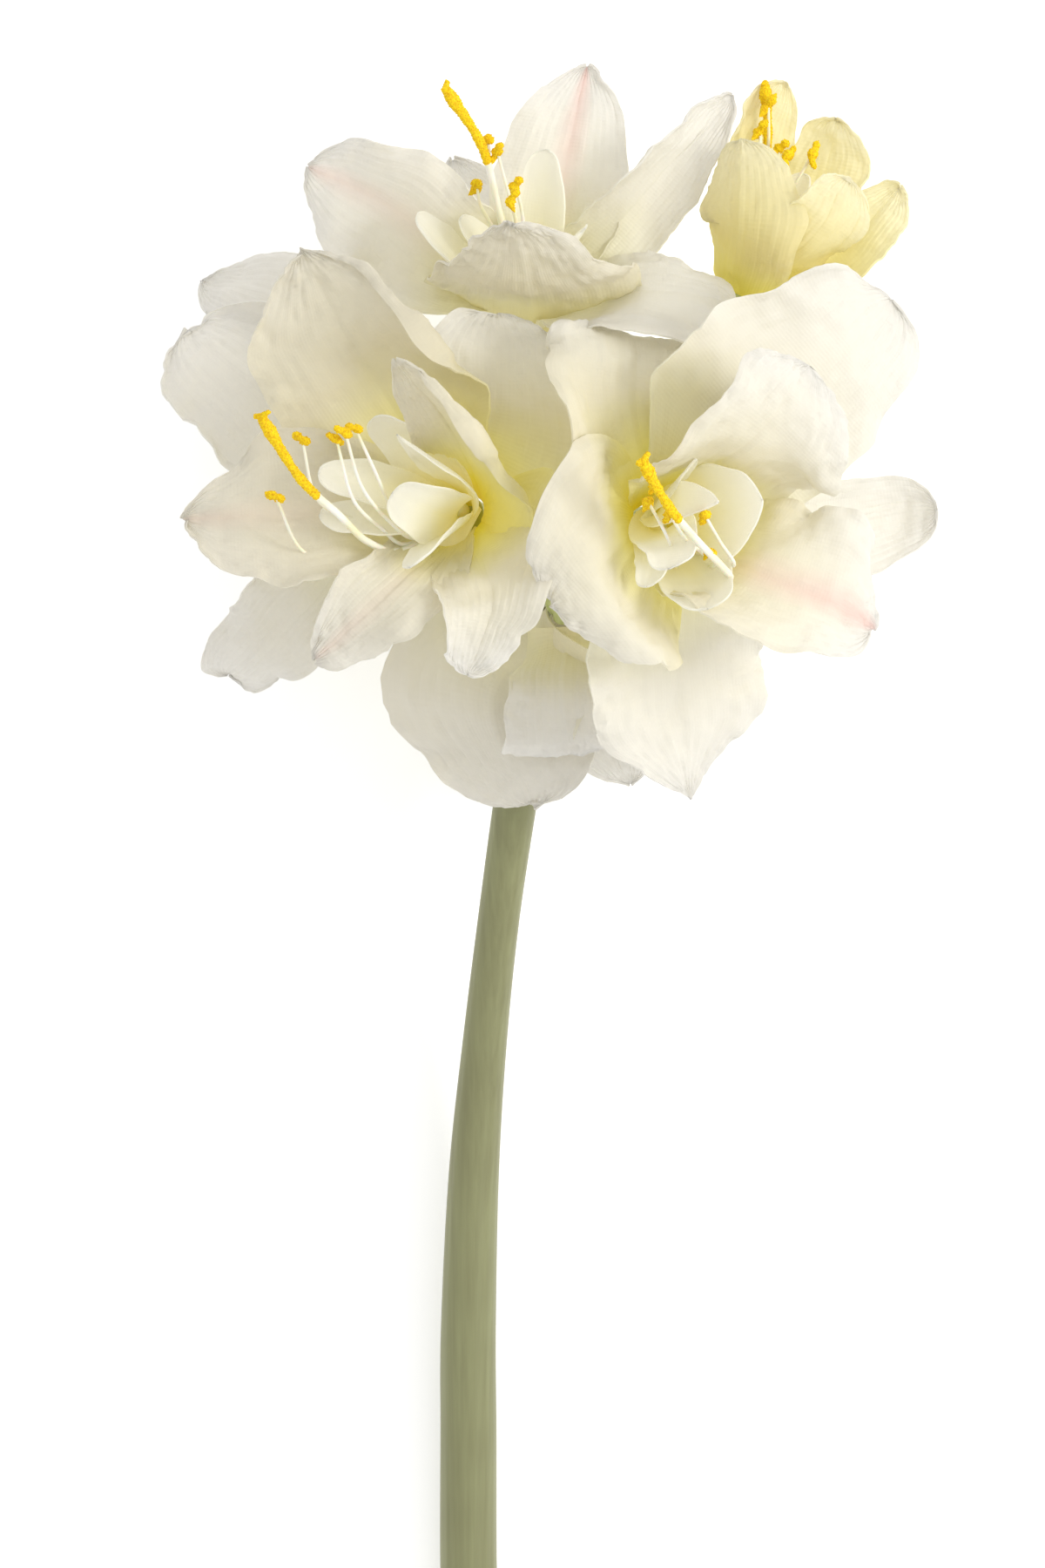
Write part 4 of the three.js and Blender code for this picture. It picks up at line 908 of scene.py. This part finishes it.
# matt white board, lit a little from below as on a light table
board = {"half": 6, "below": 0.0002, "colour": "#FFFFFF", "roughness": 0.9, "glow": 0.28}  # metres
floorHeight = cadBox[0][2] - board["below"]
corners = [(x * board["half"], y * board["half"], floorHeight) for x, y in ((-1, -1), (1, -1), (1, 1), (-1, 1))]
floorMesh = bpy.data.meshes.new("paleFloor")
floorMesh.from_pydata(corners, [], [(0, 1, 2, 3)])
floor = bpy.data.objects.new("paleFloor", floorMesh)
bpy.context.scene.collection.objects.link(floor)
floorMesh.materials.append(newMaterial("matteWhiteBoard", {
    "Roughness": board["roughness"], "Base Color": toLinear(board["colour"]),
    "Emission Color": toLinear(board["colour"]), "Emission Strength": board["glow"]})[0])

lights = {
    "softKey": {"place": (1.0, 0.25, 1.0), "size": 0.5, "power": 8.2, "colour": "#FFFEFB"},
    "wideFill": {"place": (-0.9, 0.5, 1.3), "size": 1.6, "power": 0.4, "colour": "#F6F9FF"},
}
lightTarget = Vector((0, 0.05, 0.08))
for name, setting in lights.items():
    lamp = bpy.data.lights.new(name, "AREA")
    lamp.shape, lamp.size, lamp.energy = "DISK", setting["size"], setting["power"]
    lamp.color = toLinear(setting["colour"])[:3]
    lampObject = bpy.data.objects.new(name, lamp)
    bpy.context.scene.collection.objects.link(lampObject)
    lampObject.location = setting["place"]
    lampObject.rotation_euler = (lightTarget - lampObject.location).to_track_quat("-Z", "Y").to_euler()

room = {"colour": "#FFFFFF", "strength": 0.86}
world = bpy.data.worlds.new("softRoom")
bpy.context.scene.world = world
world.use_nodes = True
background = world.node_tree.nodes["Background"]
background.inputs["Color"].default_value = toLinear(room["colour"])
background.inputs["Strength"].default_value = room["strength"]
bpy.context.scene.view_settings.view_transform = "Standard"

# millimetres around the head: the camera stands high and looks straight down at the reference level
view = {"height": 2000, "reference": 20, "centre": (-4.5, -72), "tall": 540, "sensor": 36, "farEnd": 50}
camera = bpy.data.cameras.new("lookDown")
camera.sensor_width = view["sensor"]
camera.lens = view["sensor"] * view["height"] / view["tall"]
camera.clip_end = view["farEnd"]
cameraObject = bpy.data.objects.new("lookDown", camera)
bpy.context.scene.collection.objects.link(cameraObject)
cameraObject.location = toRow((*view["centre"], view["reference"] + view["height"]))
bpy.context.scene.camera = cameraObject
print("stage ready", [round(v, 4) for v in headOrigin])
